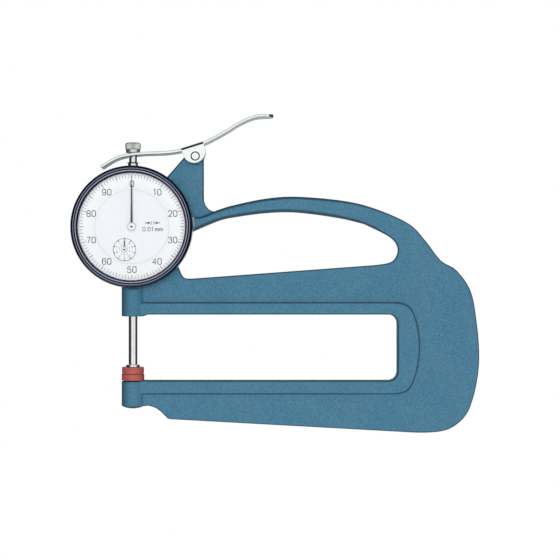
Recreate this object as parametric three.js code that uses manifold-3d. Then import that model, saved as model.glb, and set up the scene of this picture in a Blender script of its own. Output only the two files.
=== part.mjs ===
// Dial thickness gauge: a cast frame with two jaws and a carrying handle, a spindle with a flat
// measuring face, a thumb lever that lifts the spindle, and a dial movement of 0.01 mm.
// Millimetres, +Z up along the spindle, +X from the spindle to the closed end of the throat,
// and the dial faces -Y. Everything is drawn from the spindle's axis and the anvil's top face,
// then the whole group is moved so that its origin is the middle of the handle.
import * as THREE from 'three';
import { mergeVertices } from 'three/addons/utils/BufferGeometryUtils.js';
import Module from 'manifold-3d';

const wasm = await Module();
wasm.setup();

// Reach and heights of the frame
const throatDepth = 120.2;
const bowDepth = 37.2;
const frameReach = throatDepth + bowDepth;
const gape = 27.0;
const heelDrop = 26.7;
const dialHeight = 66.7;
const handleRise = 13.8;
const handleTop = dialHeight + handleRise;

// Half thicknesses of the casting, either side of the spindle's plane
const webHalf = 2.0;
const rimHalf = 3.75;
const handleHalf = 4.0;
const edgeRound = 0.5;
const rimBand = 5.6;
const lowerRimBand = 6.2;
const throatCorner = 4.0;
const rimBulge = 10.1;

// Bosses that carry the spindle and the anvil
const bossRadius = 5.15;
const stemBossDrop = 0.8;
const anvilCollar = 0.38;
const anvilBossLength = 11.32;
const bossDome = 1.1;

// Case ring round the movement, sized from the bezel inwards
const bezelRadius = 27.5;
const bezelOverhang = 1.5;
const skirtWall = 2.4;
const turnGap = 0.15;
const neckWall = 1.75;
const ledgeWidth = 2.2;
const reliefGap = 1.1;
const caseRadius = bezelRadius - bezelOverhang;
const skirtBore = bezelRadius - skirtWall;
const neckRadius = skirtBore - turnGap;
const recessRadius = neckRadius - neckWall;
const cavityRadius = recessRadius - ledgeWidth;
const reliefRadius = bezelRadius + reliefGap;
const neckFront = -6.3;
const caseFront = -3.0;
const caseBack = 8.0;
const ledgeFront = -5.6;

// Running, seat and rest clearances, and the chord error of every round piece
const runGap = 0.05;
const seatGap = 0.05;
const faceGap = 0.05;
const pressGap = 0.05;
const chordError = 0.06;
const coarsestShare = 0.3;
const overrun = 1.0;
const stepsPerSpan = 2;

// Spindle, contact and anvil
const spindleRadius = 2.0;
const upperRadius = 1.8;
const travel = 10.0;
const faceRadius = 5.0;
const faceHeight = 3.1;
const anvilRadius = 5.15;
const anvilHeight = 2.9;
const collarRadius = 3.15;
const collarHeight = 1.0;
const nippleRadius = 1.5;
const nippleLength = 1.85;
const studRadius = 1.0;
const studLength = 4.8;
const anvilShankRadius = 2.0;
const anvilShankLength = 7.5;
const bushRadius = 3.0;
const bushBelowCavity = 4.95;
const upperBushRadius = 2.3;
const upperBushRise = 3.0;
const bushFlangeRadius = 3.0;
const bushFlange = 0.6;

// Lifting knob
const leverRoom = 4.2;
const knobCollarRadius = 3.2;
const knobCollar = 1.4;
const knobRadius = 3.5;
const knobHeight = 3.2;
const knobChamfer = 0.6;
const knobThread = 1.2;
const knobThreadLength = 3.4;
const knurlDepth = 0.12;
const knurlTeeth = 30;

// Lifting lever and its post
const pivotReach = 28.5;
const pivotDrop = 1.8;
const leverHalf = 5.5;
const leverSheet = 1.0;
const thumbArm = 35.4;
const thumbRise = 19.0;
const earRadius = 5.2;
const earCentre = [-0.6, 2.1];
const pinRadius = 1.5;
const pinHeadRadius = 2.0;
const pinHead = 0.45;
const postClear = 0.33;
const postSlope = 49 * Math.PI / 180;
const postFillet = 4.8;
const washerRadius = 3.1;
const washerSheet = 0.3;
const earPlay = 0.15;
const postBossHalf = leverHalf - leverSheet - earPlay - washerSheet - seatGap;
const slotHalfWidth = 2.4;
const slotHalfLength = 4.3;
const slotShift = -0.8;

// Bezel, glass and dial
const bezelWall = 3.7;
const windowRadius = bezelRadius - bezelWall;
const bezelFront = -12.4;
const bezelBack = -3.2;
const lipBack = -11.0;
const glassSheet = 1.0;
const spacerWall = 1.2;
const dialFront = -7.05;
const dialSheet = 0.4;
const dialJointShare = 0.7017;
const dialJoint = dialJointShare * windowRadius;
const ringGrooveFront = -5.25;
const ringGrooveBack = -4.15;
const ringBite = 0.6;
const ringProud = 0.35;
const ringInner = neckRadius - ringBite;
const ringOuter = skirtBore + ringProud;
const ringMouth = 2.6;

// Movement plates and what stands between them
const plateFront = -6.45;
const plateSheet = 0.8;
const plateRadius = recessRadius - 2 * seatGap;
const rearPlateFront = -3.3;
const rearPlateGap = 0.4;
const rearPlateRadius = cavityRadius - rearPlateGap;
const pillarMargin = 2.1;
const pillarPitch = rearPlateRadius - pillarMargin;
const pillarRadius = 1.3;
const spigotRadius = 0.7;
const pillarAngles = [15, 135, 310];
const plateScrewPitch = (recessRadius + cavityRadius) / 2;
const plateScrewAngles = [40, 160, 320];
const plateScrewRadius = 0.5;
const plateScrewHead = 0.8;
const plateScrewHeadHeight = 0.4;
const plateScrewLength = 2.6;

// Gear train: the rack turns the first arbor, whose wheel turns the centre pinion
const rackTeeth = 16;
const wheelTeeth = 100;
const pinionTeeth = 10;
const travelPerTurn = 1.0;
const toothTip = 0.7;
const toothRoot = 1.2;
const rackDepth = 0.29;
const rackMargin = 2.0;
const wheelClear = 0.2;
const arborRadius = 0.45;
const pivotHole = 0.1;
const wheelFront = -4.7;
const wheelSheet = 0.45;
const rackFaceHalf = 1.0;
const rackArborRadius = 0.5;
const cockFront = 1.7;
const cockSheet = 0.8;
const cockReach = 5.4;
const cockHalf = 1.5;
const cockTip = 1.25;
const cockScrewRadius = 0.6;
const cockScrewHead = 1.1;
const cockScrewHeadHeight = 0.6;

// Guide pin, return spring and hairspring
const guidePinRadius = 0.8;
const guidePinEnd = 10.6;
const railInner = 5.0;
const railWidth = 2.0;
const railMargin = 3.0;
const railClear = 2.52;
const railBack = 2.2;
const springReach = 9.5;
const springPostMargin = 2.3;
const springPostBack = 1.3;
const springRadius = 1.3;
const springWire = 0.25;
const hookGap = 0.1;
const springTurns = 12;
const wireSides = 5;
const stepsPerTurn = 8;
const hairOuter = 5.0;
const hairInner = 0.85;
const hairStrip = 0.22;
const hairTurns = 4;
const hairWidth = 0.4;
const hairFront = -3.95;
const hairStud = 0.6;

// Hands
const mainHandGap = 0.8;
const mainHandReach = windowRadius - mainHandGap;
const mainHandWideShare = 0.813;
const mainHandWide = mainHandWideShare * mainHandReach;
const mainHandHalf = 0.45;
const needleHalf = 0.14;
const handSheet = 0.2;
const mainHandFront = -8.75;
const handBossRadius = 1.0;
const hubRadius = 1.83;
const hubSheet = 0.5;
const hubHole = 0.5;
const counterHandReach = 4.2;
const counterHandHalf = 0.22;
const counterBossRadius = 0.75;
const counterHandFront = -7.75;

// Case back
const coverInset = 0.5;
const coverRadius = caseRadius - coverInset;
const coverSheet = 1.0;
const coverLandRadius = cavityRadius - coverInset;
const coverLand = 0.7;
const coverScrewPitch = (caseRadius + cavityRadius) / 2;
const coverScrewAngles = [45, 135, 225, 315];
const coverScrewRadius = 0.8;
const coverScrewHead = 1.4;
const coverScrewHeadHeight = 0.6;
const coverScrewLength = 4.0;

// Outline places: shares of frameReach across, and of handleTop above the anvil or heelDrop below it
const backShares = [
  [0.750, -0.978], [0.845, -1.0], [0.912, -0.940], [0.959, -0.723], [0.982, -0.423], [0.997, 0],
  [1.0, 0.132], [0.993, 0.292], [0.976, 0.466], [0.935, 0.584], [0.889, 0.642], [0.843, 0.757],
  [0.797, 0.848], [0.704, 0.930], [0.611, 0.976],
];
const handleTopShares = [[0.611, 0.976], [0.473, 1.0], [0.380, 0.988], [0.287, 0.950], [0.241, 0.922],
  [0.190, 0.886], [0.152, 0.902]];
const handleUnderShares = [[0.668, 0.847], [0.591, 0.882], [0.473, 0.912], [0.385, 0.909], [0.296, 0.886],
  [0.251, 0.867], [0.152, 0.785]];
const holeEndShares = [[0.668, 0.847], [0.744, 0.771], [0.766, 0.703], [0.750, 0.636], [0.704, 0.6155]];
const holeFootShares = [[0.183, 0.540], [0.148, 0.544], [0.132, 0.602]];
const barOuterShares = [[0.152, 0.902], [0.190, 0.886], [0.241, 0.922], [0.287, 0.950], [0.380, 0.988],
  [0.473, 1.0], [0.611, 0.976], [0.704, 0.930], [0.797, 0.848], [0.838, 0.768]];
const barInnerShares = [[0.152, 0.785], [0.194, 0.824], [0.251, 0.867], [0.296, 0.886], [0.385, 0.909],
  [0.473, 0.912], [0.591, 0.882], [0.673, 0.843], [0.744, 0.771], [0.772, 0.703]];
const barFadeShare = 0.62;
const domeShare = 0.75;
// The closed end of the rim: shares of rimBulge back from it and of its half height up or down
const rimEndShares = [[-1.2, 1], [-0.80, 0.985], [-0.46, 0.90], [-0.27, 0.755], [-0.13, 0.56], [-0.03, 0.30],
  [0, 0.05], [-0.03, -0.22], [-0.12, -0.46], [-0.26, -0.69], [-0.50, -0.90], [-0.85, -0.985], [-1.2, -1]];
// The bezel's front: shares of its wall outwards and of its depth back
const bezelFaceShares = [[0.12, 0.02], [0.26, 0.06], [0.36, 0.02], [0.50, 0.06], [0.58, 0.13], [0.68, 0.12],
  [0.80, 0.18], [0.86, 0.28], [0.97, 0.32], [1, 0.40]];
// The arch under the lower jaw: shares of archReach across and of heelDrop down
const archReach = 16.1;
const archShares = [[0, -0.54], [0.32, -0.548], [0.43, -0.541], [0.55, -0.558], [0.66, -0.587],
  [0.77, -0.633], [0.885, -0.699], [1, -0.769]];
// The lever's upper side: shares of pivotReach and pivotDrop left of the pivot, and of thumbArm and
// thumbRise right of it
const frontArmShares = [[1.491, -2.27], [1.354, -0.94], [1.242, -0.05], [1.130, 0.45], [0.979, 0.83],
  [0.800, 1.06], [0.467, 1.28], [0.214, 1.89]];
const thumbArmShares = [[0.096, 0.337], [0.373, 0.584], [0.520, 0.747], [0.667, 0.879], [0.774, 0.958],
  [0.884, 1], [1, 1]];
// How the handle grip's place is shared out along the handle
const gripShare = 0.473;

// Places that follow from the sizes above
const caseTop = dialHeight + caseRadius;
const bushTop = caseTop + upperBushRise;
const knobSeat = bushTop + bushFlange + leverRoom;
const pivotHeight = knobSeat - pivotDrop;
const plateBack = plateFront + plateSheet;
const rearPlateBack = rearPlateFront + plateSheet;
const glassFront = lipBack + seatGap;
const glassBack = glassFront + glassSheet;
const lowerJawTop = -anvilHeight;
const anvilBossTop = lowerJawTop - anvilCollar;
const anvilBossEnd = anvilBossTop - anvilBossLength;

// The rack's pitch gives its pinion's pitch circle, and the first wheel fills the cavity
const rackPitch = travelPerTurn * wheelTeeth / pinionTeeth / rackTeeth;
const rackModule = rackPitch / Math.PI;
const rackPitchLine = rackDepth - spindleRadius;
const counterX = rackPitchLine - rackTeeth * rackModule / 2;
const trainTeeth = wheelTeeth + pinionTeeth;
const arborDistance = (cavityRadius - wheelClear) / (1 + (wheelTeeth + 2 * toothTip) / trainTeeth);
const trainModule = 2 * arborDistance / trainTeeth;
const counterDrop = Math.sqrt(arborDistance ** 2 - counterX ** 2);
const counterZ = dialHeight - counterDrop;
const hairX = -counterX;
const hairZ = dialHeight + counterDrop;
const towardsCounter = Math.atan2(-counterDrop, counterX);
const rackLow = counterZ - travel - rackMargin;
const rackHigh = counterZ + rackMargin;

// The guide rail fills the cavity's height beside the spindle, and the spring hangs from its pin
const railHigh = dialHeight + Math.sqrt((cavityRadius - railClear) ** 2 - (railInner + railWidth) ** 2);
const guidePinHeight = railHigh - railMargin - guidePinRadius - travel;
const railLow = guidePinHeight - guidePinRadius - railMargin;
const springFoot = dialHeight - Math.sqrt((cavityRadius - springPostMargin) ** 2 - springReach ** 2);

// The lever's strip passes straight over the pivot, and the post is round under it
const stripLeft = [-frontArmShares.at(-1)[0] * pivotReach, frontArmShares.at(-1)[1] * pivotDrop];
const stripRight = [thumbArmShares[0][0] * thumbArm, thumbArmShares[0][1] * thumbRise];
const stripLean = Math.atan2(stripRight[1] - stripLeft[1], stripRight[0] - stripLeft[0]);
const stripNormal = [-Math.sin(stripLean), Math.cos(stripLean)];
const stripHeight = stripLeft[0] * stripNormal[0] + stripLeft[1] * stripNormal[1];
const postRadius = stripHeight - leverSheet - postClear;
const coverFront = caseBack + seatGap;
const coverBack = coverFront + coverSheet;
const contactTop = faceGap + faceHeight;
const collarTop = contactTop + faceGap + collarHeight;
const spindleFoot = collarTop + faceGap;
const gripX = gripShare * frameReach;
const gripZ = handleTop * (handleTopShares[1][1] + handleUnderShares[2][1]) / 2;

// Helpers

// Even number of facets that keeps a circle within the chord error, in steps of four
function facets(radius) {
  const half = Math.acos(1 - Math.min(chordError / radius, coarsestShare));
  return 4 * Math.max(2, Math.ceil(Math.PI / half / 4));
}

function circle(radius, x = 0, z = 0) {
  const count = facets(radius);
  return Array.from({ length: count }, (_, i) => {
    const angle = 2 * Math.PI * i / count;
    return [x + radius * Math.cos(angle), z + radius * Math.sin(angle)];
  });
}

function arc(x, z, radius, start, end) {
  const count = Math.max(2, Math.ceil(facets(radius) * Math.abs(end - start) / (2 * Math.PI)));
  return Array.from({ length: count + 1 }, (_, i) => {
    const angle = start + (end - start) * i / count;
    return [x + radius * Math.cos(angle), z + radius * Math.sin(angle)];
  });
}

// A smooth run of points through hand-chosen places
function smooth(places, steps = (places.length - 1) * stepsPerSpan) {
  const curve = new THREE.SplineCurve(places.map(([x, z]) => new THREE.Vector2(x, z)));
  return curve.getPoints(steps).map(point => [point.x, point.y]);
}

function framePlace([x, z]) {
  return [x * frameReach, z * (z < 0 ? heelDrop : handleTop)];
}

function outline(points) {
  return new THREE.Shape(points.map(([x, z]) => new THREE.Vector2(x, z)));
}

// One closed body from a geometry, with its shared points merged
function body(geometry) {
  const bare = geometry.index ? geometry : mergeVertices(geometry);
  bare.deleteAttribute('normal');
  bare.deleteAttribute('uv');
  const merged = mergeVertices(bare, chordError / 100);
  const index = merged.index.array;
  const kept = [];
  for (let i = 0; i < index.length; i += 3) {
    const [a, b, c] = [index[i], index[i + 1], index[i + 2]];
    if (a !== b && b !== c && c !== a) kept.push(a, b, c);
  }
  const vertProperties = new Float32Array(merged.attributes.position.array);
  return new wasm.Manifold(new wasm.Mesh({ numProp: 3, vertProperties, triVerts: new Uint32Array(kept) }));
}

function join(...bodies) {
  return bodies.reduce((whole, piece) => whole.add(piece));
}

function cut(whole, ...bodies) {
  return bodies.reduce((left, piece) => left.subtract(piece), whole);
}

// Plate drawn as seen from the front, from its front face to its back face
function plate(points, front, back, holes = [], round = 0) {
  const shape = outline(points);
  for (const hole of holes) shape.holes.push(outline(hole));
  const geometry = new THREE.ExtrudeGeometry(shape, {
    depth: back - front - 2 * round,
    bevelEnabled: round > 0,
    bevelThickness: round,
    bevelSize: round,
    bevelOffset: -round,
    bevelSegments: 1,
  });
  geometry.rotateX(Math.PI / 2);
  geometry.translate(0, back - round, 0);
  return body(geometry);
}

function box(left, right, front, back, low, high) {
  const geometry = new THREE.BoxGeometry(right - left, back - front, high - low);
  geometry.translate((left + right) / 2, (front + back) / 2, (low + high) / 2);
  return body(geometry);
}

// Turned piece round an axis along Y: the profile runs (radius, y) with the material on its left
function turnedY(profile, x, z, count) {
  const widest = Math.max(...profile.map(([radius]) => radius));
  const points = [...profile, profile[0]].map(([radius, y]) => new THREE.Vector2(radius, y));
  const geometry = new THREE.LatheGeometry(points, count ?? facets(widest));
  geometry.translate(x, 0, z);
  return body(geometry);
}

// Turned piece round the spindle's axis: the profile runs (radius, z)
function turnedZ(profile, x = 0) {
  const widest = Math.max(...profile.map(([radius]) => radius));
  const points = [...profile, profile[0]].map(([radius, z]) => new THREE.Vector2(radius, z));
  const geometry = new THREE.LatheGeometry(points, facets(widest));
  geometry.rotateX(Math.PI / 2);
  geometry.translate(x, 0, 0);
  return body(geometry);
}

function rod(radius, front, back, x, z) {
  return turnedY([[0, front], [radius, front], [radius, back], [0, back]], x, z);
}

function post(radius, low, high) {
  return turnedZ([[0, low], [radius, low], [radius, high], [0, high]]);
}

function ringY(inner, outer, front, back, x, z) {
  return turnedY([[inner, front], [outer, front], [outer, back], [inner, back]], x, z);
}

function tube(inner, outer, low, high) {
  return turnedZ([[inner, low], [outer, low], [outer, high], [inner, high]]);
}

function around(pitch, degrees) {
  const angle = degrees * Math.PI / 180;
  return [pitch * Math.cos(angle), dialHeight + pitch * Math.sin(angle)];
}

// Gear outline with pointed teeth, one tip at the given angle
function gear(teeth, gearModule, tipAngle, x, z) {
  const pitchRadius = teeth * gearModule / 2;
  return Array.from({ length: 2 * teeth }, (_, i) => {
    const radius = pitchRadius + gearModule * (i % 2 ? -toothRoot : toothTip);
    const angle = tipAngle + Math.PI * i / teeth;
    return [x + radius * Math.cos(angle), z + radius * Math.sin(angle)];
  });
}

const finishes = {
  paint: { color: 0x467c96, roughness: 0.6, metalness: 0.0 },
  red: { color: 0xc0483f, roughness: 0.45, metalness: 0.0 },
  chrome: { color: 0xc8cbce, roughness: 0.15, metalness: 1.0 },
  steel: { color: 0x9aa0a2, roughness: 0.35, metalness: 1.0 },
  nickel: { color: 0xd5dcda, roughness: 0.2, metalness: 1.0 },
  brass: { color: 0xb5a06a, roughness: 0.3, metalness: 1.0 },
  black: { color: 0x1c2026, roughness: 0.35, metalness: 0.3 },
  dial: { color: 0xf4f5f7, roughness: 0.6, metalness: 0.0 },
  glass: { color: 0xf2f6fa, roughness: 0.05, metalness: 0.0 },
  ink: { color: 0x121315, roughness: 0.5, metalness: 0.0 },
};

const gauge = new THREE.Group();
gauge.position.set(-gripX, 0, -gripZ);

function add(name, solid, finish) {
  const { vertProperties, triVerts } = solid.getMesh();
  const geometry = new THREE.BufferGeometry();
  geometry.setAttribute('position', new THREE.BufferAttribute(new Float32Array(vertProperties), 3));
  geometry.setIndex(new THREE.BufferAttribute(new Uint32Array(triVerts), 1));
  geometry.computeVertexNormals();
  const mesh = new THREE.Mesh(geometry, new THREE.MeshStandardMaterial(finishes[finish]));
  mesh.name = name;
  gauge.add(mesh);
}

// Frame casting

function webBody() {
  const back = smooth(backShares.map(framePlace));
  const top = smooth(handleTopShares.map(framePlace));
  const arch = smooth(archShares.map(([x, z]) => [x * archReach, z * heelDrop]));
  const middle = [[0, dialHeight]];
  const under = smooth(handleUnderShares.map(framePlace));
  const end = smooth(holeEndShares.map(framePlace));
  const foot = smooth(holeFootShares.map(framePlace));
  const inCase = [[holeFootShares[2][0] * frameReach, dialHeight - cavityRadius / 2]];
  const hole = [...under.slice().reverse(), ...end.slice(1), ...foot, ...inCase];
  return plate([...arch, ...back, ...top.slice(1), ...middle], -webHalf, webHalf, [hole], edgeRound);
}

function throatHole(grow) {
  const right = throatDepth;
  const radius = throatCorner;
  const points = [
    [-caseRadius, gape], [-caseRadius, lowerJawTop],
    ...arc(right - radius, lowerJawTop + radius, radius, -Math.PI / 2, 0),
    ...arc(right - radius, gape - radius, radius, 0, Math.PI / 2),
  ];
  return plate(points, -rimHalf - grow, rimHalf + grow);
}

function rimBody() {
  const top = gape + rimBand;
  const low = lowerJawTop - lowerRimBand;
  const right = throatDepth + rimBulge;
  const half = (top - low) / 2;
  const centre = (top + low) / 2;
  const end = smooth(rimEndShares.map(([x, z]) => [right + x * rimBulge, centre + z * half]));
  return plate([[0, low], [0, top], ...end], -rimHalf, rimHalf, [], edgeRound);
}

// The handle is thicker than the web beside it and thins out into the bow
function handleBody() {
  const sides = 8;
  const squareness = 0.6;
  const outer = smooth(barOuterShares.map(framePlace));
  const inner = smooth(barInnerShares.map(framePlace));
  const stations = outer.length - 1;
  const positions = [];
  for (let i = 0; i <= stations; i++) {
    const [ox, oz] = outer[i];
    const [ix, iz] = inner[i];
    const fade = Math.max(0, i / stations - barFadeShare) / (1 - barFadeShare);
    const half = handleHalf + (webHalf - edgeRound - handleHalf) * fade * fade * (3 - 2 * fade);
    for (let k = 0; k < sides; k++) {
      const angle = 2 * Math.PI * (k + 0.5) / sides;
      const across = Math.sign(Math.cos(angle)) * Math.abs(Math.cos(angle)) ** squareness;
      const deep = Math.sign(Math.sin(angle)) * Math.abs(Math.sin(angle)) ** squareness;
      const reach = across / Math.cos(Math.PI / sides) ** squareness;
      const depth = deep / Math.cos(Math.PI / sides) ** squareness;
      const share = (1 + reach) / 2;
      positions.push(ix + (ox - ix) * share, half * depth, iz + (oz - iz) * share);
    }
  }
  const index = [];
  for (let i = 0; i < stations; i++) {
    for (let k = 0; k < sides; k++) {
      const a = i * sides + k;
      const b = i * sides + (k + 1) % sides;
      index.push(a, a + sides, b, b, a + sides, b + sides);
    }
  }
  for (let k = 1; k < sides - 1; k++) {
    index.push(0, k, k + 1);
    index.push(stations * sides, stations * sides + k + 1, stations * sides + k);
  }
  const geometry = new THREE.BufferGeometry();
  geometry.setAttribute('position', new THREE.BufferAttribute(new Float32Array(positions), 3));
  geometry.setIndex(index);
  return body(geometry);
}

function leverPost() {
  const right = pivotReach + postRadius;
  const tangent = postSlope + Math.PI / 2;
  const topLeft = [pivotReach + postRadius * Math.cos(tangent), pivotHeight + postRadius * Math.sin(tangent)];
  const run = topLeft[0] - caseRadius / 2;
  const slopeFoot = [caseRadius / 2, topLeft[1] - run * Math.tan(postSlope)];
  const [rootX, rootZ] = framePlace(handleTopShares[4]);
  const filletX = right + postFillet;
  const filletZ = rootZ + postFillet;
  const fillet = arc(filletX, filletZ, postFillet, 1.5 * Math.PI, Math.PI);
  const points = [
    slopeFoot, [caseRadius / 2, dialHeight], [right, rootZ - handleHalf],
    [Math.max(rootX, filletX), rootZ - edgeRound], ...fillet,
    ...arc(pivotReach, pivotHeight, postRadius, 0, tangent),
  ];
  return plate(points, -webHalf, webHalf);
}

function frameCasting() {
  const web = webBody();
  const rim = rimBody();
  const handle = handleBody();
  const postBody = leverPost();
  const pivotBoss = rod(postRadius, -postBossHalf, postBossHalf, pivotReach, pivotHeight);
  const relief = ringY(neckRadius / 2, reliefRadius, bezelFront, caseFront, 0, dialHeight);
  const stemBoss = post(bossRadius, gape - stemBossDrop, dialHeight - cavityRadius);
  const anvilBoss = turnedZ([
    [0, anvilBossEnd - bossDome], [bossRadius / 2, anvilBossEnd - domeShare * bossDome],
    [bossRadius, anvilBossEnd], [bossRadius, anvilBossTop], [0, anvilBossTop],
  ]);
  const ring = turnedY([
    [0, neckFront], [neckRadius, neckFront], [neckRadius, ringGrooveFront],
    [ringInner - runGap, ringGrooveFront], [ringInner - runGap, ringGrooveBack],
    [neckRadius, ringGrooveBack], [neckRadius, caseFront], [caseRadius, caseFront],
    [caseRadius, caseBack - edgeRound], [caseRadius - edgeRound, caseBack], [0, caseBack],
  ], 0, dialHeight);
  const cavity = turnedY([
    [0, neckFront - overrun], [recessRadius, neckFront - overrun], [recessRadius, ledgeFront],
    [cavityRadius, ledgeFront], [cavityRadius, caseBack + overrun], [0, caseBack + overrun],
  ], 0, dialHeight);
  const anvilRoom = post(anvilRadius + 2 * pressGap, anvilBossTop, gape - stemBossDrop);
  const jaws = cut(join(web, rim), throatHole(overrun), anvilRoom);
  const solid = cut(join(jaws, handle, postBody, pivotBoss, stemBoss, anvilBoss), relief);
  const stemBore = post(bushRadius + pressGap, gape - stemBossDrop - overrun, dialHeight);
  const topBore = post(upperBushRadius + pressGap, dialHeight, caseTop + overrun);
  const anvilBore = post(anvilShankRadius + pressGap, anvilBossTop - anvilShankLength - pressGap, 0);
  const pinBore = rod(pinRadius + pressGap, -leverHalf, leverHalf, pivotReach, pivotHeight);
  const coverHoles = coverScrewAngles.map(angle => rod(coverScrewRadius + pressGap,
    caseBack - coverScrewLength, caseBack + overrun, ...around(coverScrewPitch, angle)));
  const plateHoles = plateScrewAngles.map(angle => rod(plateScrewRadius + pressGap,
    ledgeFront - overrun, ledgeFront + plateScrewLength, ...around(plateScrewPitch, angle)));
  return cut(join(solid, ring), cavity, stemBore, topBore, anvilBore, pinBore, ...coverHoles, ...plateHoles);
}

add('frame_casting', frameCasting(), 'paint');

// Bushes, anvil and contact

function addBushesAndAnvil() {
  const bushFoot = gape - stemBossDrop + seatGap;
  const bore = spindleRadius + runGap;
  const stemTop = dialHeight - cavityRadius - bushBelowCavity;
  add('lower_bush', tube(bore, bushRadius, bushFoot, stemTop), 'steel');
  const upperBore = upperRadius + runGap;
  add('upper_bush', turnedZ([
    [upperBore, dialHeight + cavityRadius - overrun], [upperBushRadius, dialHeight + cavityRadius - overrun],
    [upperBushRadius, bushTop], [bushFlangeRadius, bushTop + bushFlange / 2],
    [upperBushRadius, bushTop + bushFlange], [upperBore, bushTop + bushFlange],
  ]), 'chrome');
  const blind = nippleRadius + pressGap;
  const studTop = -anvilHeight - seatGap;
  add('anvil_stud', turnedZ([
    [0, anvilBossTop - anvilShankLength], [anvilShankRadius, anvilBossTop - anvilShankLength],
    [anvilShankRadius, anvilBossTop + seatGap], [collarRadius, anvilBossTop + seatGap],
    [collarRadius, studTop], [nippleRadius, studTop],
    [nippleRadius, studTop + nippleLength], [0, studTop + nippleLength],
  ]), 'steel');
  add('anvil_disc', turnedZ([
    [blind, -anvilHeight], [anvilRadius, -anvilHeight], [anvilRadius, 0], [0, 0],
    [0, studTop + nippleLength + pressGap], [blind, studTop + nippleLength + pressGap],
  ]), 'red');
  add('contact_disc', turnedZ([
    [0, faceGap], [faceRadius, faceGap], [faceRadius, contactTop], [blind, contactTop],
    [blind, contactTop - nippleLength], [0, contactTop - nippleLength],
  ]), 'red');
  add('contact_stud', turnedZ([
    [0, contactTop - nippleLength + pressGap], [nippleRadius, contactTop - nippleLength + pressGap],
    [nippleRadius, contactTop + faceGap], [collarRadius, contactTop + faceGap],
    [collarRadius, collarTop], [studRadius, collarTop],
    [studRadius, collarTop + studLength], [0, collarTop + studLength],
  ]), 'steel');
}

addBushesAndAnvil();

// Spindle with its rack, the lifting knob and the guide pin

function rackCutter() {
  const tip = rackPitchLine - toothTip * rackModule;
  const root = rackPitchLine + toothRoot * rackModule;
  const outside = -spindleRadius - overrun;
  const first = Math.round((counterZ - rackLow) / rackPitch);
  const count = first + Math.round((rackHigh - counterZ) / rackPitch);
  const start = counterZ - first * rackPitch;
  const points = [[outside, start], [root, start]];
  for (let i = 0; i < count; i++) {
    points.push([tip, start + (i + 0.5) * rackPitch]);
    points.push([root, start + (i + 1) * rackPitch]);
  }
  points.push([outside, start + count * rackPitch]);
  return plate(points, -spindleRadius - overrun, spindleRadius + overrun);
}

function addSpindle() {
  const shoulder = dialHeight + cavityRadius - travel - 2 * overrun;
  const boreTop = collarTop + studLength + pressGap;
  const blank = turnedZ([
    [studRadius + pressGap, spindleFoot], [spindleRadius, spindleFoot], [spindleRadius, shoulder],
    [upperRadius, shoulder], [upperRadius, knobSeat - seatGap], [knobThread, knobSeat - seatGap],
    [knobThread, knobSeat + knobThreadLength], [0, knobSeat + knobThreadLength],
    [0, boreTop], [studRadius + pressGap, boreTop],
  ]);
  const pinGeometry = new THREE.CylinderGeometry(guidePinRadius, guidePinRadius, guidePinEnd,
    facets(guidePinRadius));
  pinGeometry.rotateZ(Math.PI / 2);
  pinGeometry.translate(guidePinEnd / 2 + guidePinRadius, 0, guidePinHeight);
  const holeRadius = guidePinRadius + pressGap;
  const holeGeometry = new THREE.CylinderGeometry(holeRadius, holeRadius, guidePinEnd + 2 * pressGap,
    facets(guidePinRadius));
  holeGeometry.rotateZ(Math.PI / 2);
  holeGeometry.translate(guidePinEnd / 2 + guidePinRadius, 0, guidePinHeight);
  add('spindle', cut(blank, rackCutter(), body(holeGeometry)), 'chrome');
  add('guide_pin', body(pinGeometry), 'steel');
  const knobTop = knobSeat + knobCollar + knobHeight;
  const knurl = Array.from({ length: 2 * knurlTeeth }, (_, i) => {
    const radius = knobRadius - (i % 2) * knurlDepth;
    const angle = Math.PI * i / knurlTeeth;
    return [radius * Math.cos(angle), radius * Math.sin(angle)];
  });
  const barrel = new THREE.ExtrudeGeometry(outline(knurl), {
    depth: knobHeight - 2 * knobChamfer, bevelSegments: 1, bevelSize: knobChamfer,
    bevelOffset: -knobChamfer, bevelThickness: knobChamfer,
  });
  barrel.translate(0, 0, knobSeat + knobCollar + knobChamfer);
  const collar = post(knobCollarRadius, knobSeat, knobTop - knobChamfer);
  const bore = post(knobThread + pressGap, knobSeat - overrun, knobSeat + knobThreadLength + pressGap);
  add('lifting_knob', cut(join(body(barrel), collar), bore), 'steel');
}

addSpindle();

// Lifting lever: one strip with a slot round the spindle and two ears bent down at the pivot

function leverLine() {
  const front = frontArmShares.map(([x, z]) => [pivotReach * (1 - x), pivotHeight + z * pivotDrop]);
  const thumb = thumbArmShares.map(([x, z]) => [pivotReach + x * thumbArm, pivotHeight + z * thumbRise]);
  return smooth([...front, ...thumb]);
}

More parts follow.
